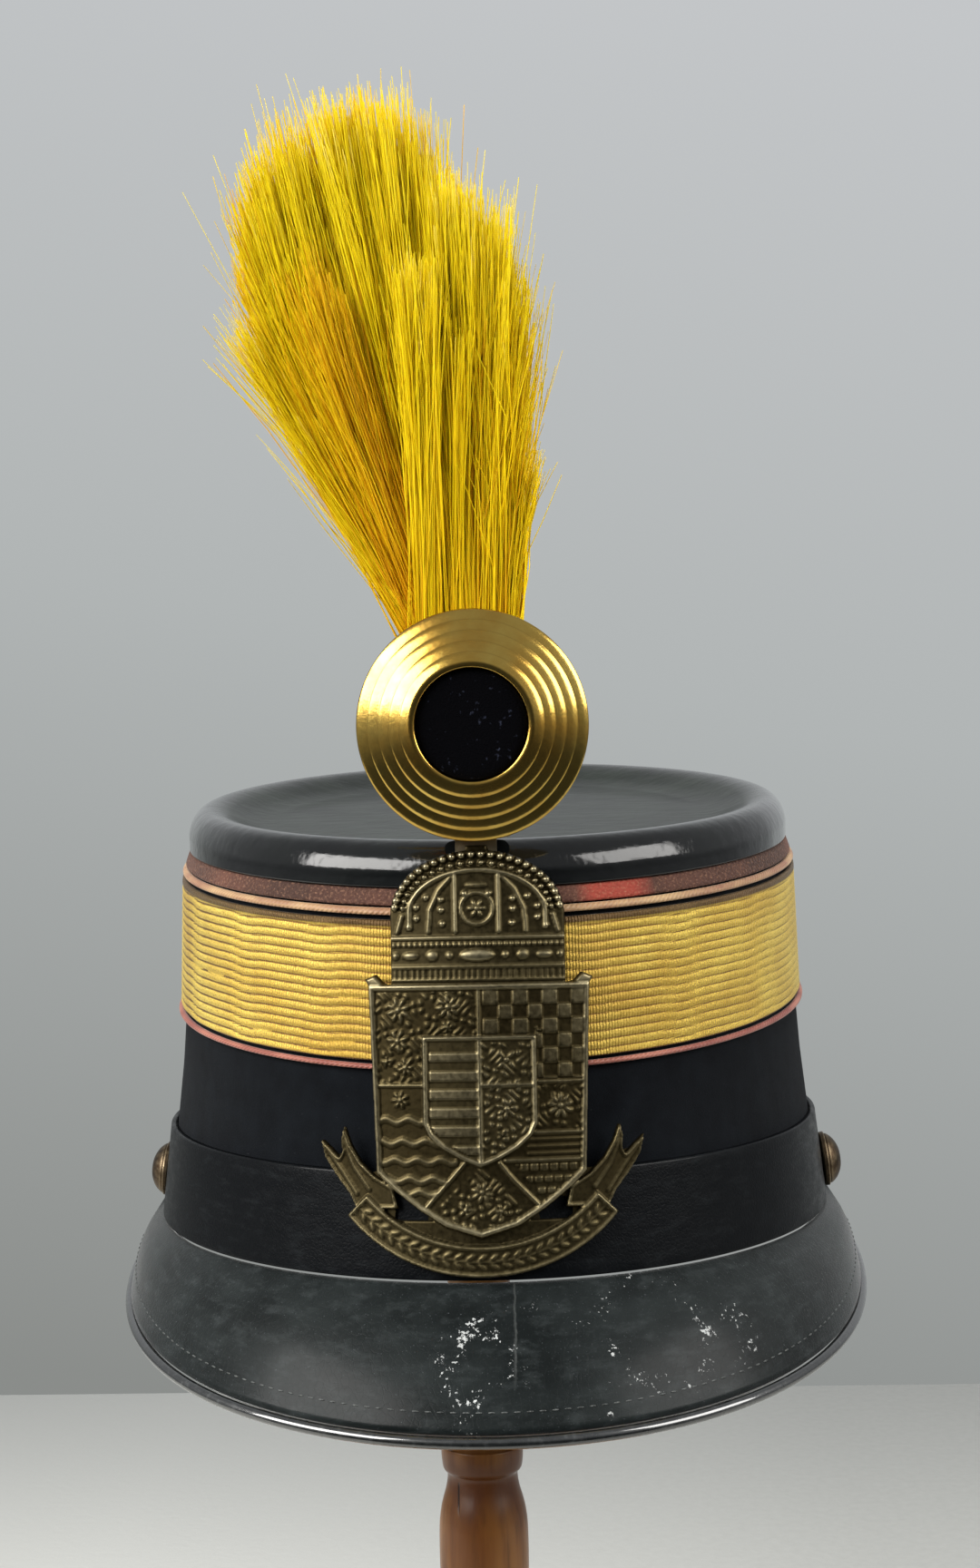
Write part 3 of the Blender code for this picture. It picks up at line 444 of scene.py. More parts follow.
felt = Finish("navy_felt", {"Sheen Weight": 0.03, "Sheen Roughness": 0.5, "Specular IOR Level": 0.10})
nap = felt.noise(2600.0, 4.0, 0.7)
mottle = felt.noise(160.0, 4.0, stretch=(1, 0.6, 1))
lint = felt.spread(felt.noise(900.0, 2.0), 0.70, 0.80)
felt_colour = felt.mix((0.0016, 0.0023, 0.0036), (0.0044, 0.0060, 0.0082), felt.spread(mottle, 0.3, 0.75))
felt.paint({
    "Base Color": felt.mix(felt_colour, (0.05, 0.055, 0.06), lint * 0.35),
    "Roughness": felt.spread(nap, 0.3, 0.7, 0.80, 0.98),
    "Normal": felt.bump(nap + mottle * 1.5, 0.00025, 0.7),
})
body_section = rounded_section(0.0, FELT_HEIGHT, -FELT_THICKNESS, 0.0, radius=0.0010, rows=40)
crown_body = hoop("felt_body", body_section, felt)
fit(crown_body, "crown_body")

# Headband: a strap of black lacquered leather, glued and sewn round the foot of the body. Its cut
# upper edge catches the light as a thin line.
HEADBAND_HEIGHT = 0.0225
HEADBAND_THICKNESS = 0.0014

lacquer = Finish("lacquered_leather", {"Coat Roughness": 0.14, "Specular IOR Level": 0.06})
hide = lacquer.spread(lacquer.cell_edges(1100.0), 0.0, 0.25)
scuffs = lacquer.noise(420.0, 5.0, 0.7, stretch=(0.35, 1, 1))
wear = lacquer.spread(scuffs, 0.52, 0.74)
lacquer.paint({
    "Base Color": lacquer.mix((0.0030, 0.0036, 0.0044), (0.0095, 0.0112, 0.0125), wear),
    "Roughness": lacquer.spread(scuffs, 0.3, 0.75, 0.30, 0.55),
    "Coat Weight": 0.14 - wear * 0.10,
    "Normal": lacquer.bump(hide * 0.5 + scuffs, 0.00010, 0.6),
})
headband = band(
    "leather_headband", HEADBAND_HEIGHT, HEADBAND_HEIGHT, HEADBAND_THICKNESS, lacquer,
    radius=0.0005, rows=14,
)
fit(headband, "headband")

# Peak: one moulded piece of thick black leather, sewn under the headband and worn dull, with fine
# crackle, flaked spots and a crease. A strip of thinner leather is rolled over its edge.
PEAK_WIDTH = 0.0336
PEAK_THICKNESS = 0.0020
PEAK_SLOPE = math.radians(51.0)
PEAK_SIDE_SLOPE = math.radians(8.5)
PEAK_HALF_ANGLE = math.radians(92.0)
PEAK_TURN = math.radians(2.0)
PEAK_TAPER = 0.83
PEAK_CORNER = math.radians(7.0)
PEAK_BULGE = 0.0018
PEAK_SETBACK = 0.0004
PEAK_COLUMNS = 241
PEAK_ROWS = 25
BINDING_RADIUS = 0.0013
BINDING_END = math.radians(87.0)
PEAK_CREASE = 0.0118
# Rings along which the leather's face has flaked off: middle, radius, breadth
FLAKED_RINGS = (
    ((0.0045, -0.1135, 0.1850), 0.0075, 0.0034), ((0.0400, -0.0985, 0.1870), 0.0130, 0.0030),
    ((0.0560, -0.0890, 0.1840), 0.0060, 0.0050), ((0.0160, -0.1120, 0.1800), 0.0175, 0.0024),
)
STITCH_COUNT = 118
STITCH_INSET = 0.0042
STITCH_LIFT = 0.00005
STITCH_MARGIN = 0.16
STITCH_SIZE = (0.0015, 0.00038)


def peak_points(turn, share, depth=0.0, extra=0.0):
    """Points of the peak: turn from the front, share of its width, depth under its face."""
    turn, share, depth, extra = np.broadcast_arrays(turn, share, depth, extra)
    outset = SEAM_GAP + HEADBAND_THICKNESS - PEAK_SETBACK
    start = oval_points(RIM_HALF_WIDTH, -PEAK_SETBACK, 0.0, turn + PEAK_TURN, outset)
    level_x, level_y = np.sin(turn + PEAK_TURN), -np.cos(turn + PEAK_TURN) / OVAL_RATIO
    length = np.hypot(level_x, level_y)
    level = np.stack([level_x / length, level_y / length, 0 * turn], axis=-1)
    upward = np.array((0.0, 0.0, 1.0))
    slope = (PEAK_SLOPE + PEAK_SIDE_SLOPE * (1 - np.cos(turn)))[..., None]
    run = level * np.cos(slope) - upward * np.sin(slope)
    face = level * np.sin(slope) + upward * np.cos(slope)
    into_corner = np.clip((np.abs(turn) - (PEAK_HALF_ANGLE - PEAK_CORNER)) / PEAK_CORNER, 0, 1)
    width = PEAK_WIDTH * np.cos(PEAK_TAPER * turn) * np.maximum(0.2, np.sqrt(1 - into_corner ** 2))
    bulge = PEAK_BULGE * np.sin(np.pi * share)
    return start + run * (share * width + extra)[..., None] + face * (bulge - depth)[..., None]


worn = Finish("worn_leather", {
    "Coat Roughness": 0.20, "Specular IOR Level": 0.09, "Sheen Weight": 0.50, "Sheen Roughness": 0.32,
})
crackle = 1 - worn.spread(worn.cell_edges(700.0), 0.0, 0.07)
dulled = worn.noise(90.0, 5.0, 0.6, stretch=(0.5, 1, 1))
worn_tone = worn.mix((0.005, 0.007, 0.007), (0.013, 0.017, 0.017), worn.spread(dulled, 0.38, 0.66))
rubbed_grey = worn.noise(380.0, 5.0, 0.7, stretch=(0.4, 1, 1))
worn_tone = worn.mix(worn_tone, (0.046, 0.054, 0.055), worn.spread(rubbed_grey, 0.50, 0.72) * 0.42)
on_peak = worn.node("TexCoord", {}, {}, "Object")
zones = []
for center, radius, breadth in FLAKED_RINGS:
    away = worn.node("VectorMath", {"operation": "DISTANCE"}, {0: on_peak, 1: center}, 1)
    from_ring = abs(away + (dulled - 0.5) * 0.010 - radius)
    zones.append(worn.spread(from_ring, breadth, 0.0))
flaking_zone = zones[0] + zones[1] * 0.75 + zones[2] * 0.7 + zones[3] * 0.7
patchy = worn.noise(170.0, 2.0, source="Object")
flaking_zone = flaking_zone * worn.spread(patchy, 0.42, 0.58)
flake_noise = worn.noise(1050.0, 3.0, 0.65, source="Object")
flakes = worn.spread(flake_noise + flaking_zone * 0.20, 0.70, 0.75) * worn.spread(flaking_zone, 0.0, 0.2)
flake_paleness = worn.spread(patchy, 0.40, 0.62, 0.35, 1.0)
glints = worn.spread(worn.noise(2300.0, 2.0, 0.6, source="Object"), 0.66, 0.76)
worn_tone = worn.mix(worn_tone, (0.11, 0.125, 0.135), glints * 0.45)
crossways = worn.axis("X") + (dulled - 0.5) * 0.003
from_crease = abs(crossways - PEAK_CREASE)
crease = worn.spread(from_crease, 0.00035, 0.0) * worn.spread(worn.axis("Z"), 0.180, 0.190)
worn_tone = worn.mix(worn_tone, (0.085, 0.095, 0.09), crease * 0.5)
worn_height = dulled * 0.9 - crackle * 0.10 + flakes * 0.5 + glints * 0.15 - crease * 1.5
worn.paint({
    "Base Color": worn.mix(worn_tone, (0.60, 0.62, 0.61), flakes * flake_paleness),
    "Roughness": worn.spread(dulled, 0.3, 0.7, 0.36, 0.52) + flakes * 0.3,
    "Coat Weight": 0.09 - flakes * 0.08,
    "Normal": worn.bump(worn_height, 0.00026, 0.8),
})
peak_turns = np.linspace(-PEAK_HALF_ANGLE, PEAK_HALF_ANGLE, PEAK_COLUMNS)[None, :]
peak_shares = np.linspace(1.0, 0.0, PEAK_ROWS)[:, None]
upper_face = peak_points(peak_turns, peak_shares)
under_face = peak_points(peak_turns, peak_shares[::-1], PEAK_THICKNESS)
peak = sheet("leather_peak", np.concatenate([upper_face, under_face]), worn, wrap_rows=True)
fit(peak, "peak")


def unit(vectors):
    """The same directions with a length of one."""
    return vectors / np.linalg.norm(vectors, axis=-1, keepdims=True)


def stitches(name, places, headings, size, finish):
    """A row of short raised stitches: their middles, the way each runs, and length and thickness."""
    rings, around = 5, 6
    lengthwise = np.linspace(0, np.pi, rings)[:, None]
    turn = full_turn(around)
    half_length, radius = size[0] / 2, size[1] / 2
    capsule = np.stack([
        -np.cos(lengthwise) * half_length + 0 * turn, np.sin(lengthwise) * np.cos(turn) * radius,
        np.sin(lengthwise) * np.sin(turn) * radius,
    ], axis=-1)
    headings = unit(headings)
    aside = unit(np.cross(headings, (0.0, 0.0, 1.0)))
    axes = np.stack([headings, aside, np.cross(headings, aside)], axis=1)
    points = np.einsum("rtk,nkj->nrtj", capsule, axes) + places[:, None, None, :]
    row, column = grid_corners(rings - 1, around)
    faces = row * around + column % around
    faces = faces + np.arange(len(places))[:, None, None, None] * rings * around
    return make_piece(name, points, faces, finish)


thread = Finish("waxed_black_thread", {"Roughness": 0.45})
twist = thread.noise(2400.0, 2.0, source="Object")
strands = thread.spread(twist, 0.35, 0.65)
thread.paint({
    "Base Color": thread.mix((0.020, 0.023, 0.022), (0.120, 0.130, 0.125), strands),
    "Normal": thread.bump(twist, 0.0001),
})
row_end = PEAK_HALF_ANGLE - STITCH_MARGIN
stitch_turns = np.linspace(-row_end, row_end, STITCH_COUNT)
stitch_width = PEAK_WIDTH * np.cos(PEAK_TAPER * stitch_turns)
stitch_places = peak_points(stitch_turns, 1 - STITCH_INSET / stitch_width, -STITCH_LIFT)
stitch_runs = np.gradient(stitch_places, axis=0)
peak_stitches = stitches("peak_stitches", stitch_places, stitch_runs, STITCH_SIZE, thread)
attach(peak_stitches, "root")


def cord_rows(path, radius, around=16):
    """Rings of points round a line, each square to it."""
    along = unit(np.gradient(path, axis=0))
    side = unit(np.cross(along, (0.0, 0.0, 1.0)))
    up = np.cross(side, along)
    turn = full_turn(around)[None, :, None]
    radius = np.broadcast_to(radius, len(path))[:, None, None]
    return path[:, None, :] + radius * (side[:, None, :] * np.cos(turn) + up[:, None, :] * np.sin(turn))


rolled = Finish("lacquered_edge", {"Coat Weight": 1.0, "Coat Roughness": 0.07, "Coat IOR": 1.9})
nicks = rolled.noise(520.0, 4.0, 0.65, source="Object")
chipped = rolled.spread(nicks, 0.55, 0.72)
rolled.paint({
    "Base Color": rolled.mix((0.004, 0.005, 0.005), (0.035, 0.038, 0.038), chipped),
    "Roughness": rolled.spread(nicks, 0.3, 0.7, 0.22, 0.45),
    "Normal": rolled.bump(nicks, 0.00012, 0.6),
})
bound_turns = np.linspace(-BINDING_END, BINDING_END, 321)
edge_line = peak_points(bound_turns, 1.0, PEAK_THICKNESS / 2, BINDING_RADIUS + SEAM_GAP)
end_taper = np.clip((BINDING_END - np.abs(bound_turns)) / math.radians(0.8), 0.0, 1.0) ** 0.5
edge_rings = cord_rows(edge_line, BINDING_RADIUS * end_taper)
peak_edge = sheet("rolled_peak_edge", edge_rings, rolled, wrap_columns=True)
fit(peak_edge, "peak_binding")

# Side buttons: stamped brass domes, gone dark, one on each side over the ends of the peak.
BUTTON_RADIUS = 0.0068
BUTTON_DEPTH = 0.0050
BUTTON_HEIGHT = 0.0074

bronze = Finish("aged_bronze", {"Metallic": 1.0})
tarnish = bronze.noise(700.0, 6.0, 0.65, source="Object")
stain = bronze.noise(130.0, 3.0, source="Object")
raised = bronze.node("NewGeometry", {}, {}, "Pointiness")
rubbed = bronze.spread(raised + (tarnish - 0.5) * 0.06, 0.505, 0.56)
bronze_base = bronze.mix((0.028, 0.019, 0.012), (0.090, 0.058, 0.034), bronze.spread(stain, 0.3, 0.7))
bronze.paint({
    "Base Color": bronze.mix(bronze_base, (0.34, 0.27, 0.17), rubbed),
    "Roughness": bronze.spread(tarnish, 0.3, 0.7, 0.38, 0.62) - rubbed * 0.12,
    "Normal": bronze.bump(tarnish, 0.00008, 0.5),
})
button_slope = math.atan2(RIM_HALF_WIDTH - float(wall_half_width(HEADBAND_HEIGHT)), HEADBAND_HEIGHT)
button_outset = (2 * SEAM_GAP + HEADBAND_THICKNESS) / math.cos(button_slope)
button_seat = float(wall_half_width(BUTTON_HEIGHT)) + button_outset
button_curve = smooth_line([
    (0.0, 1.00), (0.38, 0.93), (0.70, 0.72), (0.90, 0.44), (0.93, 0.30), (1.00, 0.26), (1.00, 0.08),
], 40)
button_curve = np.concatenate([button_curve, [(0.94, 0.0), (0.0, 0.0)]]) * (BUTTON_RADIUS, BUTTON_DEPTH)
for hand, side in (("left", -1), ("right", 1)):
    button = turned(f"domed_button_{hand}", button_curve, bronze, steps=48)
    tilt = Matrix.Rotation(side * (math.pi / 2 - button_slope), 4, "Y")
    spot = Vector(HAT_PLACE) + Vector((side * button_seat, 0, BUTTON_HEIGHT))
    button.data.transform(Matrix.Translation(spot) @ tilt)
    fit(button, f"button_{hand}")

# Lace: a broad band of woven gold thread over the upper body. Its warp cords stand up as sixteen
# fine ribs, pressed flatter on the right, and the metal thread glitters where it crosses them.
CAP_EDGE = 0.0922
LACE_TOP = 0.0853
LACE_HEIGHT = 0.0310
LACE_THICKNESS = 0.0011
LACE_RIBS = 16
RIB_DEPTH = 0.00042

gold = Finish("gold_lace", {"Metallic": 0.55, "Sheen Weight": 0.1})
weave = gold.node("TexWave", {"wave_type": "BANDS", "bands_direction": "X"}, {
    "Vector": gold.place(), "Scale": 430.0, "Distortion": 1.5, "Detail": 2.0, "Detail Scale": 2.0,
})
glint = gold.noise(1500.0, 3.0, 0.7, stretch=(1, 1.6, 1))
old = gold.noise(45.0, 4.0)
gold_tone = gold.mix((0.61, 0.400, 0.050), (0.86, 0.66, 0.120), gold.spread(old, 0.35, 0.7))
gold_tone = gold.mix((0.34, 0.19, 0.022), gold_tone, gold.spread(glint, 0.28, 0.50))
# Painted shade: the grooves between the ribs are darkened to a dark brown.
groove_shade = gold.spread(gold.node("NewGeometry", {}, {}, "Pointiness"), 0.493, 0.479)
gold_tone = gold.mix(gold_tone, (0.12, 0.050, 0.008), groove_shade * 0.92)
lace_across = gold.axis("X")
beside_badge = abs(lace_across - 0.0053 + (old - 0.5) * 0.03)
soiled = gold.spread(beside_badge, 0.064, 0.024) * gold.spread(glint, 0.30, 0.60, 0.6, 1.0)
gold_tone = gold.mix(gold_tone, (0.36, 0.19, 0.026), soiled * 0.52)
lace_level = gold.axis("Y", "UV")
from_middle = abs(lace_level - LACE_HEIGHT / 2 - 0.0003)
from_border = from_middle + (glint - 0.5) * 0.0004 - LACE_HEIGHT / 2
# Darker along the lace's upper and lower borders.
dark_borders = gold.spread(from_border, -0.0006, -0.0002)
gold_tone = gold.mix(gold_tone, (0.055, 0.020, 0.008), dark_borders * 0.9)
gold.paint({
    "Base Color": gold_tone,
    "Roughness": gold.spread(glint, 0.3, 0.7, 0.55, 0.32),
    "Normal": gold.bump(weave * 0.6 + glint, 0.00022, 0.8),
})


def rib_relief(height, outset, turn):
    """Ribs of the lace, with slow changes of depth and slight waves along them."""
    wave = 0.00022 * (np.sin(turn * 23.0) + 0.6 * np.sin(turn * 41.0 + 1.3))
    rib = (height - (LACE_TOP - LACE_HEIGHT) + wave) / LACE_HEIGHT * LACE_RIBS
    pressed = 0.62 + 0.38 * np.cos(turn + 0.9)
    ridge = np.abs(np.sin(np.pi * rib)) ** 0.7 - 0.7
    on_front = outset > SEAM_GAP + LACE_THICKNESS * 0.5
    return on_front * RIB_DEPTH * pressed * ridge


lace = band(
    "gold_lace", LACE_TOP, LACE_HEIGHT, LACE_THICKNESS, gold,
    radius=0.0004, rows=LACE_RIBS * 8 + 1, relief=rib_relief,
)
fit(lace, "gold_lace_band")

# Braid and pipings: a flat maroon braid under the leather top, and two thin cords that edge the
# lace, the upper one faded to a pinkish gold and the lower one salmon red.
BRAID_TOP = CAP_EDGE - SEAM_GAP
BRAID_HEIGHT = 0.0038
BRAID_THICKNESS = 0.0014
PIPING_RADIUS = 0.0008
UPPER_PIPING = BRAID_TOP - BRAID_HEIGHT - SEAM_GAP - PIPING_RADIUS
LOWER_PIPING = LACE_TOP - LACE_HEIGHT - 0.0009 - PIPING_RADIUS

maroon = Finish("maroon_braid", {"Roughness": 0.85, "Sheen Weight": 0.10, "Sheen Roughness": 0.4})
plait = maroon.node("TexVoronoi", {}, {"Vector": maroon.place((1, 1.4, 1)), "Scale": 1000.0})
fade = maroon.noise(30.0, 3.0)
speck = maroon.noise(1400.0, 3.0, 0.7)
maroon_tone = maroon.mix((0.046, 0.018, 0.011), (0.13, 0.046, 0.027), maroon.spread(fade, 0.4, 0.75))
braid_across = maroon.axis("X")
from_patch = abs(braid_across + (fade - 0.5) * 0.012 - 0.0364)
braid_forward = maroon.axis("Y")
# A brighter red patch on the front of the braid, right of the middle.
bright_red_patch = maroon.spread(from_patch, 0.0080, 0.0040) * maroon.spread(braid_forward, 0.0, -0.02)
maroon_tone = maroon.mix(maroon_tone, (0.36, 0.045, 0.025), bright_red_patch * 0.8)
maroon.paint({
    "Base Color": maroon.mix(maroon_tone, (0.40, 0.21, 0.12), maroon.spread(speck, 0.52, 0.72) * 0.55),
    "Normal": maroon.bump(1 - plait, 0.0003, 0.9),
})
braid = band("maroon_braid", BRAID_TOP, BRAID_HEIGHT, BRAID_THICKNESS, maroon, radius=0.0007, rows=8)
fit(braid, "upper_braid")


def piping(name, node, level, finish):
    """A round cord laid on the felt at one level."""
    arc = full_turn(14)
    heights = level - PIPING_RADIUS * np.sin(arc)
    outsets = SEAM_GAP + PIPING_RADIUS * (1 + np.cos(arc))
    cord = hoop(name, np.stack([heights, outsets], axis=1), finish)
    fit(cord, node)


def piping_finish(name, pale, deep):
    """Silk thread wound slantwise round a core."""
    silk = Finish(name, {"Roughness": 0.5, "Sheen Weight": 0.2})
    windings = silk.node("TexWave", {"bands_direction": "DIAGONAL"}, {
        "Vector": silk.place(), "Scale": 500.0, "Distortion": 0.6,
    })
    age = silk.noise(60.0, 3.0)
    silk_tone = silk.mix(deep, pale, silk.spread(age, 0.35, 0.65))
    silk.paint({
        "Base Color": silk.mix(silk_tone, deep, windings * 0.35),
        "Normal": silk.bump(windings, 0.00012, 0.7),
    })
    return silk


faded_silk = piping_finish("faded_piping", (0.55, 0.36, 0.17), (0.28, 0.12, 0.06))
red_silk = piping_finish("red_piping", (0.46, 0.17, 0.11), (0.22, 0.045, 0.03))
piping("faded_upper_piping", "upper_piping", UPPER_PIPING, faded_silk)
piping("red_lower_piping", "lower_piping", LOWER_PIPING, red_silk)

# Leather top: a shallow lid of black patent leather, blocked wet over a form so that its shoulder
# is round and its middle dished. The varnish is glassy on the shoulder and dulled on the flat.
CAP_THICKNESS = 0.0017
CAP_RISE = 0.0098
SHOULDER_WIDTH = 0.0200
# Lid: share of the shoulder's width inward, share of the rise
CAP_CURVE = (
    (0.00, 0.00), (0.00, 0.20), (0.00, 0.40), (0.03, 0.62), (0.08, 0.80), (0.14, 0.92), (0.22, 0.985),
    (0.32, 0.975), (0.42, 0.92), (0.56, 0.80), (0.72, 0.65), (0.88, 0.56), (1.00, 0.53),
)

patent = Finish("patent_leather", {"Coat Roughness": 0.09, "Coat IOR": 1.40, "Specular IOR Level": 0.20})
from_edge = patent.axis("Y", "UV")
on_flat = patent.spread(from_edge, 0.010, 0.019)
varnish = patent.noise(60.0, 4.0, 0.6, source="Object")
fine_marks = patent.noise(500.0, 4.0, 0.6, stretch=(0.15, 1, 1), source="Object")
# Greyer and greener on the flat: partly dust and clouded varnish, partly a painted reflection of the grey
# wall.
dust_and_painted_reflection = (on_flat + 0.3) * varnish
patent.paint({
    "Base Color": patent.mix((0.003, 0.003, 0.004), (0.018, 0.023, 0.018), dust_and_painted_reflection),
    "Roughness": patent.spread(fine_marks, 0.3, 0.7, 0.10, 0.16) + on_flat * 0.30,
    "Coat Weight": 0.8 - on_flat * 0.68,
    "Normal": patent.bump(varnish * 3.0 + fine_marks * 0.3, 0.00045, 0.6),
})
cap_edge_width = float(wall_half_width(CAP_EDGE)) + SEAM_GAP + CAP_THICKNESS
cap_shares = smooth_line(CAP_CURVE, 60)
to_middle = np.linspace(1.0, cap_edge_width / SHOULDER_WIDTH * 0.999, 24)[1:]
middle_shares = np.stack([to_middle, np.full(len(to_middle), CAP_CURVE[-1][1])], axis=1)
cap_shares = np.concatenate([cap_shares, middle_shares])
cap_widths = cap_edge_width - cap_shares[:, :1] * SHOULDER_WIDTH
cap_levels = CAP_EDGE + cap_shares[:, 1:] * CAP_RISE
cap_rows = oval_points(cap_widths, cap_levels, CROWN_LEAN, full_turn(WALL_STEPS)[None, :], 0.0)
crown_top = sheet("patent_leather_top", cap_rows, patent, wrap_columns=True)
lid = crown_top.modifiers.new("leather", "SOLIDIFY")
lid.thickness = CAP_THICKNESS
lid.offset = -1
fit(crown_top, "crown_top")

# Badge: die-cast bronze plates soldered into one, bent to the hat's front and left to go dark. A crown
# with beaded arches stands on a framed shield of small fields, over a ribbon with two forked tails.
# Casting leaves soft edges; handling has rubbed the raised lines pale.
BADGE_BEND = 70.0
BADGE_LIFT = 0.0009
BADGE_ASIDE = 0.0005
BADGE_CLEARANCE = 0.0017
BADGE_GRAIN = 0.30
FIELD_LEVEL = 1.20
BEVEL_WIDTH = 0.35
BEVEL_DROP = 0.3
# Flat drawing of the badge in millimetres: across from its middle, up from its foot
# Shields, ears and tails are right halves or right-hand outlines; the left mirrors them
SHIELD_SIDE = (
    (24.0, 62.4), (22.6, 22.0), (20.8, 20.3), (17.6, 17.5), (13.6, 14.4), (7.7, 10.7), (0.0, 8.3),
)
SHIELD_EAR = ((20.0, 62.0), (24.0, 62.0), (24.9, 63.5), (22.4, 64.5))
SMALL_SHIELD_SIDE = ((11.5, 50.7), (11.5, 32.6), (10.4, 30.2), (7.6, 27.6), (3.8, 25.4), (0.0, 23.8))
CROWN_FOOT = 61.4
CROWN_HALF_WIDTH = 18.8
CROWN_SHOULDER = 77.4
CROWN_ARCH_RISE = 13.6
ROSE_MIDDLE = (0.0, 78.4)
FINIAL_HALF_WIDTH = 2.3
FINIAL_REACH = (82.0, 92.0)
RIBBON_CENTER = 40.2
RIBBON_RADIUS = 40.2
RIBBON_BREADTH = 6.6
RIBBON_END = math.radians(47.4)
# Web that joins the shield's foot to the ribbon: centre and radii of its arc, half width, top
WEB_CENTER = 37.5
WEB_RADII = (27.2, 36.5)
WEB_HALF_WIDTH = 25.5
WEB_TOP = 12.0
TAIL_SIDE = (
    (18.0, 14.5), (27.5, 14.2), (29.2, 17.4), (32.6, 21.4), (35.2, 25.0), (36.4, 29.2), (34.0, 27.4),
    (31.6, 25.2), (30.9, 26.6), (31.2, 29.2), (30.4, 32.0), (28.8, 28.0), (26.6, 24.6), (23.4, 21.6),
    (19.0, 19.0),
)

SHIELD_LINES = (
    ((0.0, 50.7), (0.0, 61.6)), ((-22.6, 40.7), (-11.5, 40.7)), ((11.5, 41.2), (22.8, 41.2)),
    ((11.5, 30.4), (22.4, 30.4)), ((5.2, 24.6), (21.8, 24.6)), ((-3.4, 24.2), (-5.8, 21.4), (-12.6, 13.8)),
    ((3.9, 24.2), (6.4, 21.0), (13.2, 13.9)),
)
# Waves: level, how far right they reach. Sprigs: middle, size, leaves, turn
SHIELD_WAVES = ((33.2, -11.5), (28.6, -8.6), (24.6, -5.0), (20.6, -7.4), (17.8, -9.4))
SHIELD_SPRIGS = (
    ((-17.2, 56.8), 2.7, 8, 0.3), ((-6.4, 57.4), 2.6, 8, 0.9), ((-17.4, 50.2), 2.5, 7, 1.2),
    ((-6.6, 53.1), 1.4, 6, 0.2), ((-15.8, 44.6), 1.9, 7, 0.0), ((-19.9, 45.8), 1.3, 5, 0.5),
    ((-17.0, 37.6), 1.9, 7, 0.5), ((17.0, 36.0), 2.8, 9, 0.2), ((0.2, 18.0), 2.3, 8, 0.5),
    ((-3.4, 14.2), 1.5, 5, 0.1), ((4.2, 14.0), 1.5, 5, 0.7), ((12.4, 52.2), 0.9, 3, 0.0),
)
SMALL_SHIELD_SPRIGS = (((5.7, 46.0), 2.5, 4, 0.78), ((5.6, 35.6), 2.4, 7, 0.1), ((4.6, 30.0), 1.2, 5, 0.0))
# Fields of chequers and of low bars: left, right, foot, top
CHEQUERS = (0.9, 22.6, 42.0, 61.0)
CHEQUER_TILE = 3.15
LOW_BARS = (9.8, 21.6, 25.3, 29.8)
# Right half of the crown. Lines: points, half width and rise. Rings: level, half width and rise.
# Gems: middle, length and breadth, rise
CROWN_LINES = (
    (((17.2, 73.4), (15.6, 78.6), (11.6, 83.0), (6.8, 85.8)), (0.5, 0.42)),
    (((10.4, 73.4), (10.0, 78.2), (8.0, 82.4), (5.4, 85.2)), (0.5, 0.42)),
    (((4.6, 73.4), (4.6, 85.6)), (0.45, 0.62)),
)
CROWN_RINGS = ((72.2, (0.42, 0.55)), (66.0, (0.36, 0.40)), (63.2, (0.4, 0.35)))
CROWN_GEMS = (
    ((0.0, 68.4), (7.6, 2.6), 0.85), ((9.6, 68.4), (2.6, 2.2), 0.55), ((14.2, 68.4), (3.6, 1.7), 0.60),
    ((17.6, 68.4), (1.5, 1.5), 0.50), ((5.9, 68.4), (1.5, 1.5), 0.50), ((0.0, 83.4), (5.0, 1.2), 0.4),
)
CROWN_PEARLS = (
    (7.6, 80.4), (7.6, 78.2), (12.9, 78.8), (12.9, 76.4), (14.6, 74.6), (7.4, 75.2), (2.6, 81.6),
    (10.8, 80.9),
)
TAIL_FOLDS = (
    ((27.4, 17.6), (31.0, 22.6), (33.8, 26.0), (35.6, 28.4)),
    ((24.4, 18.6), (28.0, 23.4), (29.6, 27.0), (30.2, 30.6)),
)


def both_sides(side):
    """A full outline from its right half, which ends on the middle line."""
    return list(side) + [(-across, up) for across, up in reversed(side) if across]


SMALL_SHIELD_LINES = (
    (both_sides(SMALL_SHIELD_SIDE) + [SMALL_SHIELD_SIDE[0]], 0.92), (((0, 24.2), (0, 50.5)), 0.78),
    (((0, 40.6), (11.4, 40.6)), 0.62),
)


def line_gap(line, across, up):
    """Distance from each point to the nearest stretch of a line."""
    gap = np.full(across.shape, 1e9)
    for (start_x, start_y), (end_x, end_y) in zip(line[:-1], line[1:]):
        run, rise = end_x - start_x, end_y - start_y
        share = ((across - start_x) * run + (up - start_y) * rise) / (run * run + rise * rise)
        share = np.clip(share, 0, 1)
        gap = np.minimum(gap, np.hypot(across - start_x - share * run, up - start_y - share * rise))
    return gap


def depth_inside(outline, across, up):
    """How far inside an outline each point lies, negative outside it."""
    within = np.zeros(across.shape, bool)
    closed = list(outline) + [outline[0]]
    for (start_x, start_y), (end_x, end_y) in zip(closed[:-1], closed[1:]):
        if start_y != end_y:
            crossing = start_x + (up - start_y) * (end_x - start_x) / (end_y - start_y)
            within ^= ((start_y > up) != (end_y > up)) & (across < crossing)
    gap = line_gap(closed, across, up)
    return np.where(within, gap, -gap)


def rounded(gap, half_width, rise):
    """Height of a raised line with a round back, at a distance from its middle."""
    return rise * np.sqrt(np.clip(1 - (gap / half_width) ** 2, 0, 1))


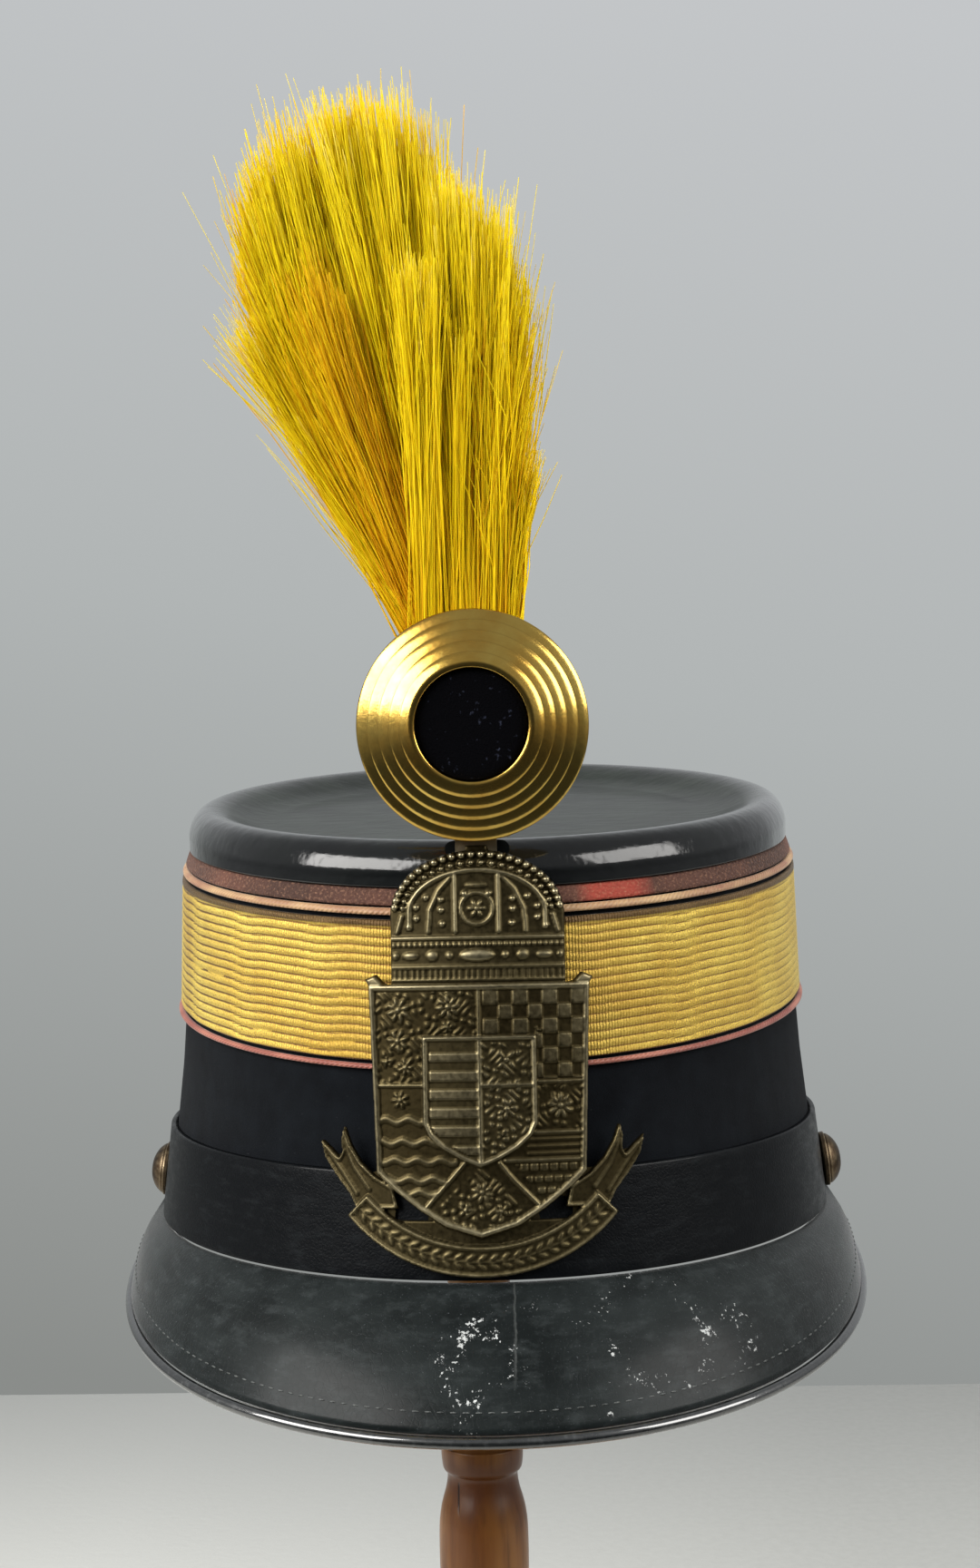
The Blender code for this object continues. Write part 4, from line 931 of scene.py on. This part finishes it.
def leaf(across, up, center, length, breadth, turn, rise):
    """A small raised leaf or bead."""
    run, climb = across - center[0], up - center[1]
    along = run * math.cos(turn) + climb * math.sin(turn)
    aside = climb * math.cos(turn) - run * math.sin(turn)
    return rounded(np.hypot(along / length, aside / breadth), 0.5, rise)


def striped(along, pace, threshold=0.0, shift=0.0):
    """Whether each point lies on a stripe; stripes get narrower with a higher threshold."""
    return np.sin(along * 2 * math.pi / pace + shift) > threshold


def in_box(box, across, up):
    """Whether each point lies in a box."""
    left, right, foot, top = box
    return (across > left) & (across < right) & (up > foot) & (up < top)


def sprig(across, up, center, size, leaves, turn, rise):
    """A rosette of leaves round a bead."""
    raised = leaf(across, up, center, size * 0.5, size * 0.5, 0.0, rise)
    for step in range(leaves):
        angle = turn + 2 * math.pi * step / leaves
        spot = (center[0] + size * 0.62 * math.cos(angle), center[1] + size * 0.62 * math.sin(angle))
        raised = np.maximum(raised, leaf(across, up, spot, size * 0.85, size * 0.36, angle, rise * 0.85))
    return raised


def ribbon_depth(across, up):
    """How far inside the ribbon each point lies, its turn round the ribbon's arc and its radius."""
    radius = np.hypot(across, RIBBON_CENTER - up)
    turn = np.arctan2(across, RIBBON_CENTER - up)
    inner = RIBBON_RADIUS - RIBBON_BREADTH
    within = np.minimum(radius - inner, RIBBON_RADIUS - radius)
    return np.minimum(within, (RIBBON_END - np.abs(turn)) * radius), turn, radius


def arch_depth(across, up):
    """How far inside the crown's outline each point lies."""
    over = np.maximum(up - CROWN_SHOULDER, 0)
    swell = np.hypot(across / CROWN_HALF_WIDTH, over / CROWN_ARCH_RISE)
    slope = np.hypot(across / CROWN_HALF_WIDTH ** 2, over / CROWN_ARCH_RISE ** 2)
    depth = (1 - swell) * swell / np.maximum(slope, 1e-3)
    return np.minimum(depth, up - CROWN_FOOT)


def badge_plates(across, up):
    """How far inside the badge each flat point lies, and the height of its plates there."""
    side = np.abs(across)
    web_radius = np.hypot(across, WEB_CENTER - up)
    web = np.minimum(web_radius - WEB_RADII[0], WEB_RADII[1] - web_radius)
    web = np.minimum(np.minimum(web, WEB_HALF_WIDTH - side), WEB_TOP - up)
    finial = np.minimum(up - FINIAL_REACH[0], FINIAL_REACH[1] - up)
    plates = (
        (depth_inside(both_sides(SHIELD_SIDE), across, up), FIELD_LEVEL),
        (depth_inside(SHIELD_EAR, side, up), FIELD_LEVEL),
        (arch_depth(across, up), FIELD_LEVEL * 0.98),
        (np.minimum(FINIAL_HALF_WIDTH - side, finial), FIELD_LEVEL * 0.5),
        (ribbon_depth(across, up)[0], FIELD_LEVEL * 1.25),
        (depth_inside(TAIL_SIDE, side, up), FIELD_LEVEL * 0.85),
        (web, FIELD_LEVEL * 0.35),
    )
    depth = np.max([inside for inside, level in plates], axis=0)
    levels = [
        np.where(inside > -0.02, level - BEVEL_DROP * np.clip(1 - inside / BEVEL_WIDTH, 0, 1) ** 2, 0)
        for inside, level in plates
    ]
    return depth, np.max(levels, axis=0)


def shield_relief(across, up):
    """Frame, small shield, dividing lines and charges."""
    inside = depth_inside(both_sides(SHIELD_SIDE), across, up)
    small = depth_inside(both_sides(SMALL_SHIELD_SIDE), across, up)
    layers = [rounded(inside - 0.72, 0.72, 0.75)]
    layers += [rounded(line_gap(line, across, up), 0.45, 0.50) for line in SHIELD_LINES]
    for level, reach in SHIELD_WAVES:
        wave = up - level - 0.42 * np.sin(across * 1.25 + level)
        layers.append((across < reach) * (across > -22.4) * rounded(wave, 0.75, 0.42))
    tile_row = (CHEQUERS[3] - up) / CHEQUER_TILE
    tile_column = (across - CHEQUERS[0]) / CHEQUER_TILE
    tiles = in_box(CHEQUERS, across, up) & (small < -0.7)
    tiles &= (np.floor(tile_row) + np.floor(tile_column)) % 2 == 0
    from_edge = np.minimum(np.abs(tile_row % 1 - 0.5), np.abs(tile_column % 1 - 0.5))
    layers.append(tiles * (0.34 + 0.08 * (from_edge < 0.30)))
    bricks = (up < 23.9) & (up > 15.5) & (across > 7.2 + (23.9 - up) * 0.78) & (inside > 1.6)
    bricks = bricks & striped(across, 2.1, -0.6, np.floor(up / 2.5) * 2) & striped(up, 2.5, -0.1)
    layers += [bricks * 0.34, in_box(LOW_BARS, across, up) * striped(up, 1.5, 0.1) * 0.24]
    layers += [sprig(across, up, *charge, 0.58) for charge in SHIELD_SPRIGS]
    raised = np.max(layers, axis=0)
    scroll = np.sin(across * 2.3 + 1.8 * np.sin(up * 1.15))
    scroll *= np.sin(up * 2.05 + 1.9 * np.sin(across * 0.95))
    foliage = 0.30 * np.clip(scroll - 0.10, 0, 0.6) / 0.6
    leafy = (across < -0.6) & (up > 41.4) | (up < 23.4 - np.abs(across) * 0.95)
    leafy |= (across > 12.0) & (up > 31.0) & (up < 40.6)
    raised = np.where(leafy & (inside > 1.5), np.maximum(raised, foliage), raised)
    bars = (across < -0.5) & (small > 0.9) & striped(up - 49.6, 3.95)
    layers = [(small > -0.6) * 0.20, bars * 0.58, (small > 0.9) * (across > 0.6) * (0.20 + foliage)]
    for line, rise in SMALL_SHIELD_LINES:
        layers.append(rounded(line_gap(line, across, up), 0.55, rise))
    layers += [(small > 0) * sprig(across, up, *charge, 0.72) for charge in SMALL_SHIELD_SPRIGS]
    raised = np.where(small > -0.6, np.max(layers, axis=0), raised)
    ears = np.maximum(depth_inside(SHIELD_EAR, np.abs(across), up), 0)
    return np.where(inside > 0, raised, 0) + np.clip(ears, 0, 0.5) * (up > 62.4)


def laid_over(raised, layer):
    """A relief with another one on it, wherever that one stands out."""
    return np.where(layer > 0, np.maximum(raised, layer), raised)


def crown_relief(across, up):
    """Two beaded arches, an upright panel, a row of gems and small pearls."""
    side = np.abs(across)
    inside = arch_depth(across, up)
    raised = (up > CROWN_SHOULDER + 0.8) * (-0.40 * (inside < 3.4))
    for inset, count, size, rise in ((0.95, 26, 1.55, 0.55), (2.75, 22, 1.20, 0.25)):
        for turn in np.linspace(0.12, math.pi - 0.12, count):
            x = (CROWN_HALF_WIDTH - inset) * math.cos(turn)
            y = CROWN_SHOULDER + (CROWN_ARCH_RISE - inset) * math.sin(turn)
            raised = laid_over(raised, leaf(across, up, (x, y), size, size, 0.0, rise + 0.40))
    pellet = np.hypot((across + 0.6) % 1.2 - 0.6, up - 70.7)
    hatch = (up > 63.6) & (up < 65.6) & striped(across, 1.3)
    layers = [
        rounded(inside - 4.3, 0.55, 0.55) * (up > 74.0), rounded(pellet, 0.5, 0.42), hatch * 0.16,
        rounded(np.hypot(across, up - ROSE_MIDDLE[1]) - 3.4, 0.42, 0.46),
        sprig(across, up, ROSE_MIDDLE, 1.9, 6, 0.0, 0.62),
    ]
    layers += [rounded(line_gap(line, side, up), *ridge) for line, ridge in CROWN_LINES]
    layers += [rounded(up - level, *ridge) for level, ridge in CROWN_RINGS]
    layers += [leaf(side, up, spot, *size, 0.0, rise) for spot, size, rise in CROWN_GEMS]
    layers += [leaf(side, up, pearl, 1.25, 1.25, 0.0, 0.72) for pearl in CROWN_PEARLS]
    within = (side < CROWN_HALF_WIDTH - 0.2) & ((inside > 3.4) | (up < CROWN_SHOULDER))
    return np.where(inside > 0, laid_over(raised, np.max(layers, axis=0) * within), 0)


def ribbon_relief(across, up):
    """Raised edges of the ribbon, a garland of small leaves along it, and the folds of its tails."""
    side = np.abs(across)
    depth, turn, radius = ribbon_depth(across, up)
    raised = rounded(depth - 0.45, 0.5, 0.42)
    middle = RIBBON_RADIUS - RIBBON_BREADTH / 2
    pace = 2.5
    along = turn * middle
    step = along - np.round(along / pace) * pace
    for aside, tilt in ((0.95, 0.6), (-0.95, -0.6)):
        cos, sin = math.cos(tilt), math.sin(tilt)
        off = radius - middle - aside
        lens = np.hypot((step * cos + off * sin) / 2.3, (off * cos - step * sin) / 0.95)
        raised = np.maximum(raised, rounded(lens, 0.5, 0.30) * (depth > 0.9))
    raised = np.maximum(raised, rounded(radius - middle, 0.22, 0.2) * (depth > 0.9))
    tail = depth_inside(TAIL_SIDE, side, up)
    folds = [rounded(line_gap(fold, side, up), 0.5, 0.32) for fold in TAIL_FOLDS]
    tail_raised = np.max([rounded(tail - 0.35, 0.4, 0.42), *folds], axis=0)
    return np.where(depth > 0, raised, np.where(tail > 0, tail_raised, 0))


def badge_front(across, up):
    """Height of the badge over its back in millimetres, and how far it is raised over its plate."""
    depth, level = badge_plates(across, up)
    on_shield = depth_inside(both_sides(SHIELD_SIDE), across, up) > 0
    on_crown = (arch_depth(across, up) > 0) & ~on_shield
    on_ears = (depth_inside(SHIELD_EAR, np.abs(across), up) > 0) & ~on_shield
    raised = np.where(on_shield | on_ears, shield_relief(across, up), ribbon_relief(across, up))
    raised = np.where(on_crown & ~on_ears, crown_relief(across, up), raised)
    return level + raised, raised


def badge_grid(grain):
    """Flat points of the badge on an even grid, with the border ones moved onto its outline."""
    columns = np.arange(-38.0, 38.0 + grain, grain)
    rows = np.arange(-1.5, 93.5, grain)
    up, across = np.meshgrid(rows, columns, indexing="ij")
    depth = badge_plates(across, up)[0]
    kept = depth > -grain * 0.55
    cells = kept[:-1, :-1] & kept[1:, :-1] & kept[1:, 1:] & kept[:-1, 1:]
    padded = np.pad(cells, 1)
    corners = padded[:-1, :-1].astype(int) + padded[1:, :-1] + padded[1:, 1:] + padded[:-1, 1:]
    border = (corners > 0) & (corners < 4)
    small = grain * 0.1
    for _ in range(2):
        x, y = across[border], up[border]
        here = badge_plates(x, y)[0]
        slope_x = (badge_plates(x + small, y)[0] - here) / small
        slope_y = (badge_plates(x, y + small)[0] - here) / small
        steep = np.maximum(slope_x ** 2 + slope_y ** 2, 0.25)
        across[border] -= np.clip(here * slope_x / steep, -grain * 0.5, grain * 0.5)
        up[border] -= np.clip(here * slope_y / steep, -grain * 0.5, grain * 0.5)
    return across, up, cells


badge_seat = OVAL_RATIO * float(wall_half_width(BADGE_LIFT)) + 2 * SEAM_GAP + HEADBAND_THICKNESS
felt_front = OVAL_RATIO * float(wall_half_width(LACE_TOP))
lace_front = felt_front + 2 * SEAM_GAP + LACE_THICKNESS + BADGE_CLEARANCE
lace_drop = float(wall_lean(LACE_TOP)) * felt_front
badge_lean = math.atan2(badge_seat - lace_front, LACE_TOP - lace_drop - BADGE_LIFT)


def bent_to_hat(across, up, height):
    """Flat millimetres of the badge brought to its place on the hat, in metres."""
    radius = BADGE_BEND + height
    bent_across = radius * np.sin(across / BADGE_BEND)
    outward = radius * np.cos(across / BADGE_BEND) - BADGE_BEND
    x = BADGE_ASIDE + bent_across / 1000
    y = -badge_seat + (up * math.sin(badge_lean) - outward * math.cos(badge_lean)) / 1000
    z = BADGE_LIFT + (up * math.cos(badge_lean) + outward * math.sin(badge_lean)) / 1000
    return np.stack([x, y, z], axis=-1) + HAT_PLACE


cast = Finish("cast_bronze", {"Metallic": 1.0})
rub = cast.node("Attribute", {"attribute_name": "raised"}, {}, "Fac")
patina = cast.noise(900.0, 5.0, 0.65, source="Object")
cloudy = cast.noise(90.0, 3.0, source="Object")
rubbed_pale = cast.spread(rub + (patina - 0.5) * 0.35 + (cloudy - 0.5) * 0.3, 0.30, 0.95)
in_recess = cast.spread(rub + (patina - 0.5) * 0.2, -0.05, 0.30)
cast_colour = cast.mix((0.038, 0.029, 0.013), (0.130, 0.105, 0.052), in_recess)
badge_level = cast.axis("Z")
# Darker, and less rubbed pale, in a band of heights across the middle of the shield.
middle_band_darkening = cast.spread(badge_level, 0.212, 0.226) * cast.spread(badge_level, 0.266, 0.258)
cast_colour = cast.mix(cast_colour, (0.030, 0.022, 0.009), middle_band_darkening * 0.62)
cast.paint({
    "Base Color": cast.mix(cast_colour, (0.45, 0.39, 0.24), rubbed_pale * (1 - middle_band_darkening * 0.48)),
    "Roughness": cast.spread(patina, 0.3, 0.7, 0.36, 0.58) - rubbed_pale * 0.10,
    "Normal": cast.bump(patina, 0.00006, 0.5),
})


def badge_face(grain):
    """Flat points of one face of the badge and its faces."""
    across, up, cells = badge_grid(grain)
    row, column = np.nonzero(cells)
    width = across.shape[1]
    start = row * width + column
    corners = np.stack([start, start + 1, start + width + 1, start + width], axis=1)
    used, corner = np.unique(corners, return_inverse=True)
    return across.ravel()[used], up.ravel()[used], corner.reshape(-1, 4)


x, y, corner = badge_face(BADGE_GRAIN)
height, raised = badge_front(x, y)
edges = np.stack([corner, np.roll(corner, -1, axis=1)], axis=-1).reshape(-1, 2)
_, first, counts = np.unique(np.sort(edges, axis=1), axis=0, return_index=True, return_counts=True)
start, end = edges[np.sort(first[counts == 1])].T
walls = np.stack([end, start, start + len(x), end + len(x)], axis=1)
points = np.concatenate([bent_to_hat(x, y, height), bent_to_hat(x, y, 0.0 * height)])
front = make_piece("badge_front", points, np.concatenate([corner, walls]), cast)
raised_points = front.data.attributes.new("raised", "FLOAT", "POINT")
raised_points.data.foreach_set("value", np.append(raised, raised * 0))
x, y, corner = badge_face(BADGE_GRAIN * 4)
back = make_piece("badge_back", bent_to_hat(x, y, 0.0 * x), corner[:, ::-1], cast)
back.data.attributes.new("raised", "FLOAT", "POINT")
for piece in (front, back):
    fit(piece, "badge")

# Socket and strip behind the boss: sheet brass soldered to a short tube, left dark. They are kept as
# the plain CAD piece and take the same bronze as the buttons.
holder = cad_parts["plume_holder"]
holder.data.materials.clear()
holder.data.materials.append(bronze.material)

# Boss: spun brass in five rounded steps with a bright lip, polished and lacquered, with a disc of
# black velvet over card pressed into its recess.
BOSS_PLACE = (0.0053, -0.0969, 0.3185)
BOSS_RADIUS = 0.0249
BOSS_DEPTH = 0.0068
BOSS_RIM = 0.0012
BOSS_WALL = 0.0010
BOSS_STEPS = 5
BOSS_LIP = 0.0131
BOSS_BORE = 0.01205
BOSS_RECESS = 0.0026
DISC_RADIUS = 0.01175
DISC_THICKNESS = 0.0012

brass = Finish("polished_brass", {"Metallic": 1.0})
spun = brass.noise(900.0, 4.0, 0.6, source="Object")
aged = brass.noise(90.0, 4.0, 0.6, source="Object")
# Painted shade: the valleys between the steps are darkened.
step_shade = brass.spread(brass.node("NewGeometry", {}, {}, "Pointiness"), 0.492, 0.462)
brass_tone = brass.mix((0.62, 0.43, 0.105), (0.48, 0.27, 0.050), brass.spread(aged, 0.36, 0.68))
brass.paint({
    "Base Color": brass.mix(brass_tone, (0.12, 0.050, 0.010), step_shade * 0.85),
    "Roughness": brass.spread(aged + spun * 0.3, 0.4, 0.95, 0.14, 0.26),
    "Normal": brass.bump(spun, 0.00005, 0.5),
})
step_width = (BOSS_RADIUS - BOSS_LIP) / BOSS_STEPS
step_drop = (BOSS_DEPTH - BOSS_RIM) / BOSS_STEPS
boss_floor = BOSS_DEPTH - BOSS_RECESS
boss_curve = [(0.0, boss_floor), (BOSS_BORE - 0.0002, boss_floor), (BOSS_BORE, boss_floor + 0.0002)]
boss_curve += [(BOSS_BORE, BOSS_DEPTH - 0.0003), (BOSS_BORE + 0.0003, BOSS_DEPTH)]
for ridge in range(BOSS_STEPS):
    start_radius = BOSS_LIP + ridge * step_width
    start_height = BOSS_DEPTH - ridge * step_drop
    for turn in np.linspace(0.15, 1.0, 9):
        across = step_width * (turn - 0.06 * math.sin(2 * math.pi * turn))
        drop = step_drop * (1 - math.cos(math.pi / 2 * turn)) ** 0.8
        boss_curve.append((start_radius + across, start_height - drop))
boss_curve += [(BOSS_RADIUS, BOSS_RIM * 0.4), (BOSS_RADIUS - 0.0003, 0.0), (BOSS_RADIUS - BOSS_WALL, 0.0)]
boss_curve += [(BOSS_BORE, boss_floor - BOSS_WALL), (0.0, boss_floor - BOSS_WALL)]
facing = Matrix.Translation(BOSS_PLACE) @ Matrix.Rotation(math.pi / 2, 4, "X")
boss = turned("spun_brass_boss", boss_curve, brass, steps=192)
boss.data.transform(facing)

velvet = Finish("black_velvet", {"Roughness": 1.0, "Sheen Weight": 0.01, "Specular IOR Level": 0.04})
pile = velvet.noise(1800.0, 4.0, 0.7, source="Object")
dust = velvet.spread(velvet.noise(620.0, 2.0, source="Object"), 0.66, 0.74)
velvet.paint({
    "Base Color": velvet.mix((0.0010, 0.0010, 0.0016), (0.03, 0.035, 0.055), dust * 0.7),
    "Normal": velvet.bump(pile, 0.0004, 0.9),
})
disc_curve = smooth_line([(0.0, 0.92), (0.5, 0.97), (0.85, 0.90), (0.96, 0.62), (1.0, 0.30)], 24)
disc_curve = np.concatenate([disc_curve, [(1.0, 0.0), (0.0, 0.0)]]) * (DISC_RADIUS, DISC_THICKNESS)
disc = turned("velvet_disc", disc_curve, velvet, steps=96)
disc.data.transform(facing @ Matrix.Translation((0, 0, boss_floor + SEAM_GAP)))
fit(boss, "cockade_boss")
fit(disc, "cockade_center")

# Plume: long horsehair dyed golden yellow, bound to an oval head with waxed thread and pushed into the
# socket behind the boss. The hairs stand in locks of different lengths: a broad mass leans left, a
# fuller one stands upright on the right, a bright lock lies in front and thin wisps hang loose.
PLUME_FOOT = np.array((0.0053, -0.0891, 0.3300))
HAIR_RADIUS = 0.00014
HAIR_TIP_RADIUS = 0.00008
LIGHT_THROUGH_HAIR = 0.34
HEAD_OVAL = (1.1, 0.72, 1.0, 1.0)
HEAD_HALF_DEPTH = 4.4
THREAD_WINDINGS = 9
THREAD_PITCH = 0.0010
HAIR_JOINTS = np.array((0.0, 0.24, 0.50, 0.76, 1.0))
# Locks in millimetres from the foot: tip (across, depth, height), spread of the tips across and in
# depth, place of the roots across, hairs, part of the length over which they end, curve, tint
# Low tints are partly painted shade: the two locks low on the left are browned as the shade of the recess
# between the locks, and the locks at the back are a little browner.
LOCKS = (
    ((-47, 3, 81), (3.6, 4), -7.5, 1000, 0.42, 1.02, 0.5),
    ((-47.5, 4, 92), (3.6, 5), -7, 1100, 0.4, 1.1, 0.48),
    ((-48, 5, 105), (3.8, 5), -6.5, 1250, 0.38, 1.25, 0.56),
    ((-45, 5, 116), (4.2, 5), -6, 1350, 0.36, 1.35, 0.66),
    ((-37, 5, 124), (4.4, 6), -5, 1350, 0.34, 1.35, 0.68),
    ((-28, 4, 127), (4.4, 6), -4, 1400, 0.33, 1.3, 0.66),
    ((-19, 4, 128), (3.8, 6), -3, 1300, 0.33, 1.25, 0.64),
    ((-12, 4, 122), (3.6, 6), -1.5, 1150, 0.33, 1.2, 0.6),
    ((-6.5, 3, 114), (3.4, 6), -0.5, 950, 0.34, 1.15, 0.55),
    ((-33, -4, 92), (6, 3), -6, 950, 0.55, 1.12, 0.1),
    ((-38, -2, 68), (4, 3), -6.5, 550, 0.4, 1.02, 0.22),
    ((-1, -4, 107), (3.4, 5), 0.5, 1200, 0.34, 1.2, 0.7),
    ((4.5, -5, 100), (3.4, 5), 2.5, 1250, 0.34, 1.2, 0.66),
    ((8, -5, 91), (2.8, 5), 4, 1150, 0.36, 1.25, 0.58),
    ((9.2, -4, 78), (2.2, 4), 5.5, 900, 0.38, 1.3, 0.48),
    ((9, -3, 64), (2, 4), 6, 600, 0.38, 1.3, 0.45),
    ((8.4, -2, 50), (1.8, 4), 6, 350, 0.4, 1.3, 0.5),
    ((-9.8, -10, 89), (2.4, 2), -9, 950, 0.36, 1.35, 0.66),
    ((-2, -9, 80), (3, 2), -2, 500, 0.5, 1.2, 0.45),
    ((13, -3, 47), (1.2, 2), 6.5, 380, 0.2, 0.85, 0.7),
    ((-55, 0, 82), (3.4, 3), -7.5, 130, 0.4, 0.92, 0.9),
    ((-42, 0, 56), (9, 9), -7.5, 30, 0.6, 0.9, 0.95),
    ((13.5, 2, 76), (2.6, 5), 5.5, 60, 0.4, 1, 0.9),
    ((-22, 2, 128), (14, 6), -3.5, 70, 0.1, 1.05, 0.95),
)
HAIRS_PER_TUFT = 38
chance = np.random.default_rng(7)


def hair_paths(lock):
    """Points along every hair of a lock, in metres, gathered into small tufts at their tips."""
    (across, depth, height), (spread_across, spread_depth), root_across, count, uneven, curve, tint = lock
    tufts = max(3, count // HAIRS_PER_TUFT)
    tuft_spots = np.clip(chance.normal(0, 0.55, (tufts, 3)), -1.1, (1.1, 1.1, 0.8))
    tuft = chance.integers(0, tufts, count)
    spots = tuft_spots[tuft] + chance.normal(0, 0.13, (count, 3))
    reach = 1 - uneven * (0.30 * chance.random(tufts)[tuft] + 0.75 * chance.random(count) ** 2.2)
    tips = np.array((across, depth, height)) + spots * (spread_across * 1.15, spread_depth, 4.0)
    root_depth = depth * 0.3 + spots[:, 1] * 1.5
    root = np.stack([
        root_across + spots[:, 0] * 1.2 + chance.normal(0, 1.3, count),
        np.clip(root_depth + chance.normal(0, 0.8, count), -HEAD_HALF_DEPTH, HEAD_HALF_DEPTH),
        chance.uniform(-1.0, 2.0, count),
    ], axis=1)
    share = HAIR_JOINTS[None, :] * reach[:, None]
    outward = 1 - (1 - np.minimum(share, 1.0)) ** curve
    level = root[:, None, :2] + (tips - root)[:, None, :2] * outward[..., None]
    rise = root[:, None, 2] + (tips - root)[:, None, 2] * share
    path = np.concatenate([level, rise[..., None]], axis=2)
    looseness = (1.25 + 3.0 * chance.random(count) ** 9 + 0.8 * (count < 200))[:, None, None]
    drift = (chance.normal(0, 1, (count, 1, 3)) + chance.normal(0, 1.1, (tufts, 1, 3))[tuft]) * looseness
    curl = chance.normal(0, 0.65, (count, 1, 3)) * looseness
    phase = chance.uniform(0, 2 * np.pi, (count, 1, 1))
    bend = share[..., None]
    path += drift * bend ** 2 + curl * bend * np.sin(phase + 6.0 * bend)
    own_tint = np.clip(tint + chance.normal(0, 0.10, tufts)[tuft] + chance.normal(0, 0.14, count), 0, 1)
    return path / 1000 + PLUME_FOOT, own_tint


def hair_mesh(name, paths, tint, finish):
    """Thin three-sided hairs that taper to a point, with their tint and length laid out for colour."""
    count, joints = paths.shape[:2]
    along = unit(np.gradient(paths, axis=1))
    side = unit(np.cross(along, chance.normal(0, 1, (count, 1, 3))))
    front = np.cross(along, side)
    turn = np.array((0.0, 2.0, 4.0)) * np.pi / 3
    thickness = HAIR_TIP_RADIUS + (HAIR_RADIUS - HAIR_TIP_RADIUS) * (1 - HAIR_JOINTS ** 4)
    thickness = thickness[None, :, None, None] * chance.uniform(0.75, 1.25, (count, 1, 1, 1))
    ring = side[:, :, None] * np.cos(turn)[:, None] + front[:, :, None] * np.sin(turn)[:, None]
    points = paths[:, :, None, :] + ring * thickness
    joint, edge = grid_corners(joints - 1, 3)
    hair = np.arange(count)[:, None, None, None]
    faces = (hair * joints + joint) * 3 + edge % 3
    layout = np.stack([tint[hair] + 0.0 * joint, HAIR_JOINTS[joint] + 0.0 * hair], axis=-1)
    return make_piece(name, points, faces, finish, layout)


hair_finish = Finish("yellow_horsehair", {"Roughness": 0.40, "Specular IOR Level": 0.20})
hair_tint = hair_finish.axis("X", "UV")
hair_length = hair_finish.axis("Y", "UV")
hair_level = hair_finish.axis("Z")
hair_depth = hair_finish.axis("Y")
high_up = hair_finish.spread(hair_level, 0.35, 0.43)
brown = hair_finish.mix((0.82, 0.40, 0.005), (0.90, 0.50, 0.006), high_up)
yellow = hair_finish.mix((1.0, 0.77, 0.008), (1.0, 0.86, 0.006), high_up)
# Painted shade: hairs towards the back are browned.
shaded_behind = hair_finish.spread(hair_depth, -0.092, -0.080)
dye_and_shade = hair_finish.spread(hair_tint + hair_length * 0.35 - shaded_behind * 0.55, 0.20, 0.80)
dyed_and_shaded = hair_finish.mix(brown, yellow, dye_and_shade)
bleached = hair_finish.spread(hair_length, 0.92, 1.0) * hair_finish.spread(hair_tint, 0.78, 0.98)
hair_finish.paint({"Base Color": hair_finish.mix(dyed_and_shaded, (1.0, 0.93, 0.40), bleached * 0.45)})
see_through = hair_finish.node("BsdfTranslucent", {}, {"Color": (1.0, 0.81, 0.02)})
opaque = Tone(hair_finish, hair_finish.shader.outputs[0])
hair_surface = hair_finish.node("MixShader", {}, {0: LIGHT_THROUGH_HAIR, 1: opaque, 2: see_through})
hair_finish.feed(hair_finish.tree.nodes["Material Output"], {"Surface": hair_surface})

locks = [hair_paths(lock) for lock in LOCKS]
all_paths = np.concatenate([paths for paths, tint in locks])
all_tints = np.concatenate([tint for paths, tint in locks])
order = np.argsort(all_paths[:, -1, 0], kind="stable")
PLUME_PIECES = ("horsehair_left", "horsehair_left_middle", "horsehair_right_middle", "horsehair_right")
plume_pieces = [
    hair_mesh(name, all_paths[chosen], all_tints[chosen], hair_finish)
    for name, chosen in zip(PLUME_PIECES, np.array_split(order, len(PLUME_PIECES)))
]
binding_curve = [(0.0, -0.0190), (0.0058, -0.0190), (0.0060, -0.0060), (0.0066, -0.0040)]
for winding in range(THREAD_WINDINGS):
    for turn in np.linspace(0.1, 0.9, 4):
        level = -0.0035 + THREAD_PITCH * (winding + turn)
        binding_curve.append((0.0071 + 0.0004 * math.sin(math.pi * turn), level))
binding_curve += [(0.0066, 0.0060), (0.0, 0.0060)]
waxed = piping_finish("waxed_thread", (0.30, 0.19, 0.03), (0.12, 0.07, 0.012))
binding = turned("plume_head_binding", binding_curve[::-1], waxed, steps=48)
binding.data.transform(Matrix.Translation(PLUME_FOOT) @ Matrix.Diagonal(HEAD_OVAL))
for plume_piece in plume_pieces + [binding]:
    fit(plume_piece, "plume")
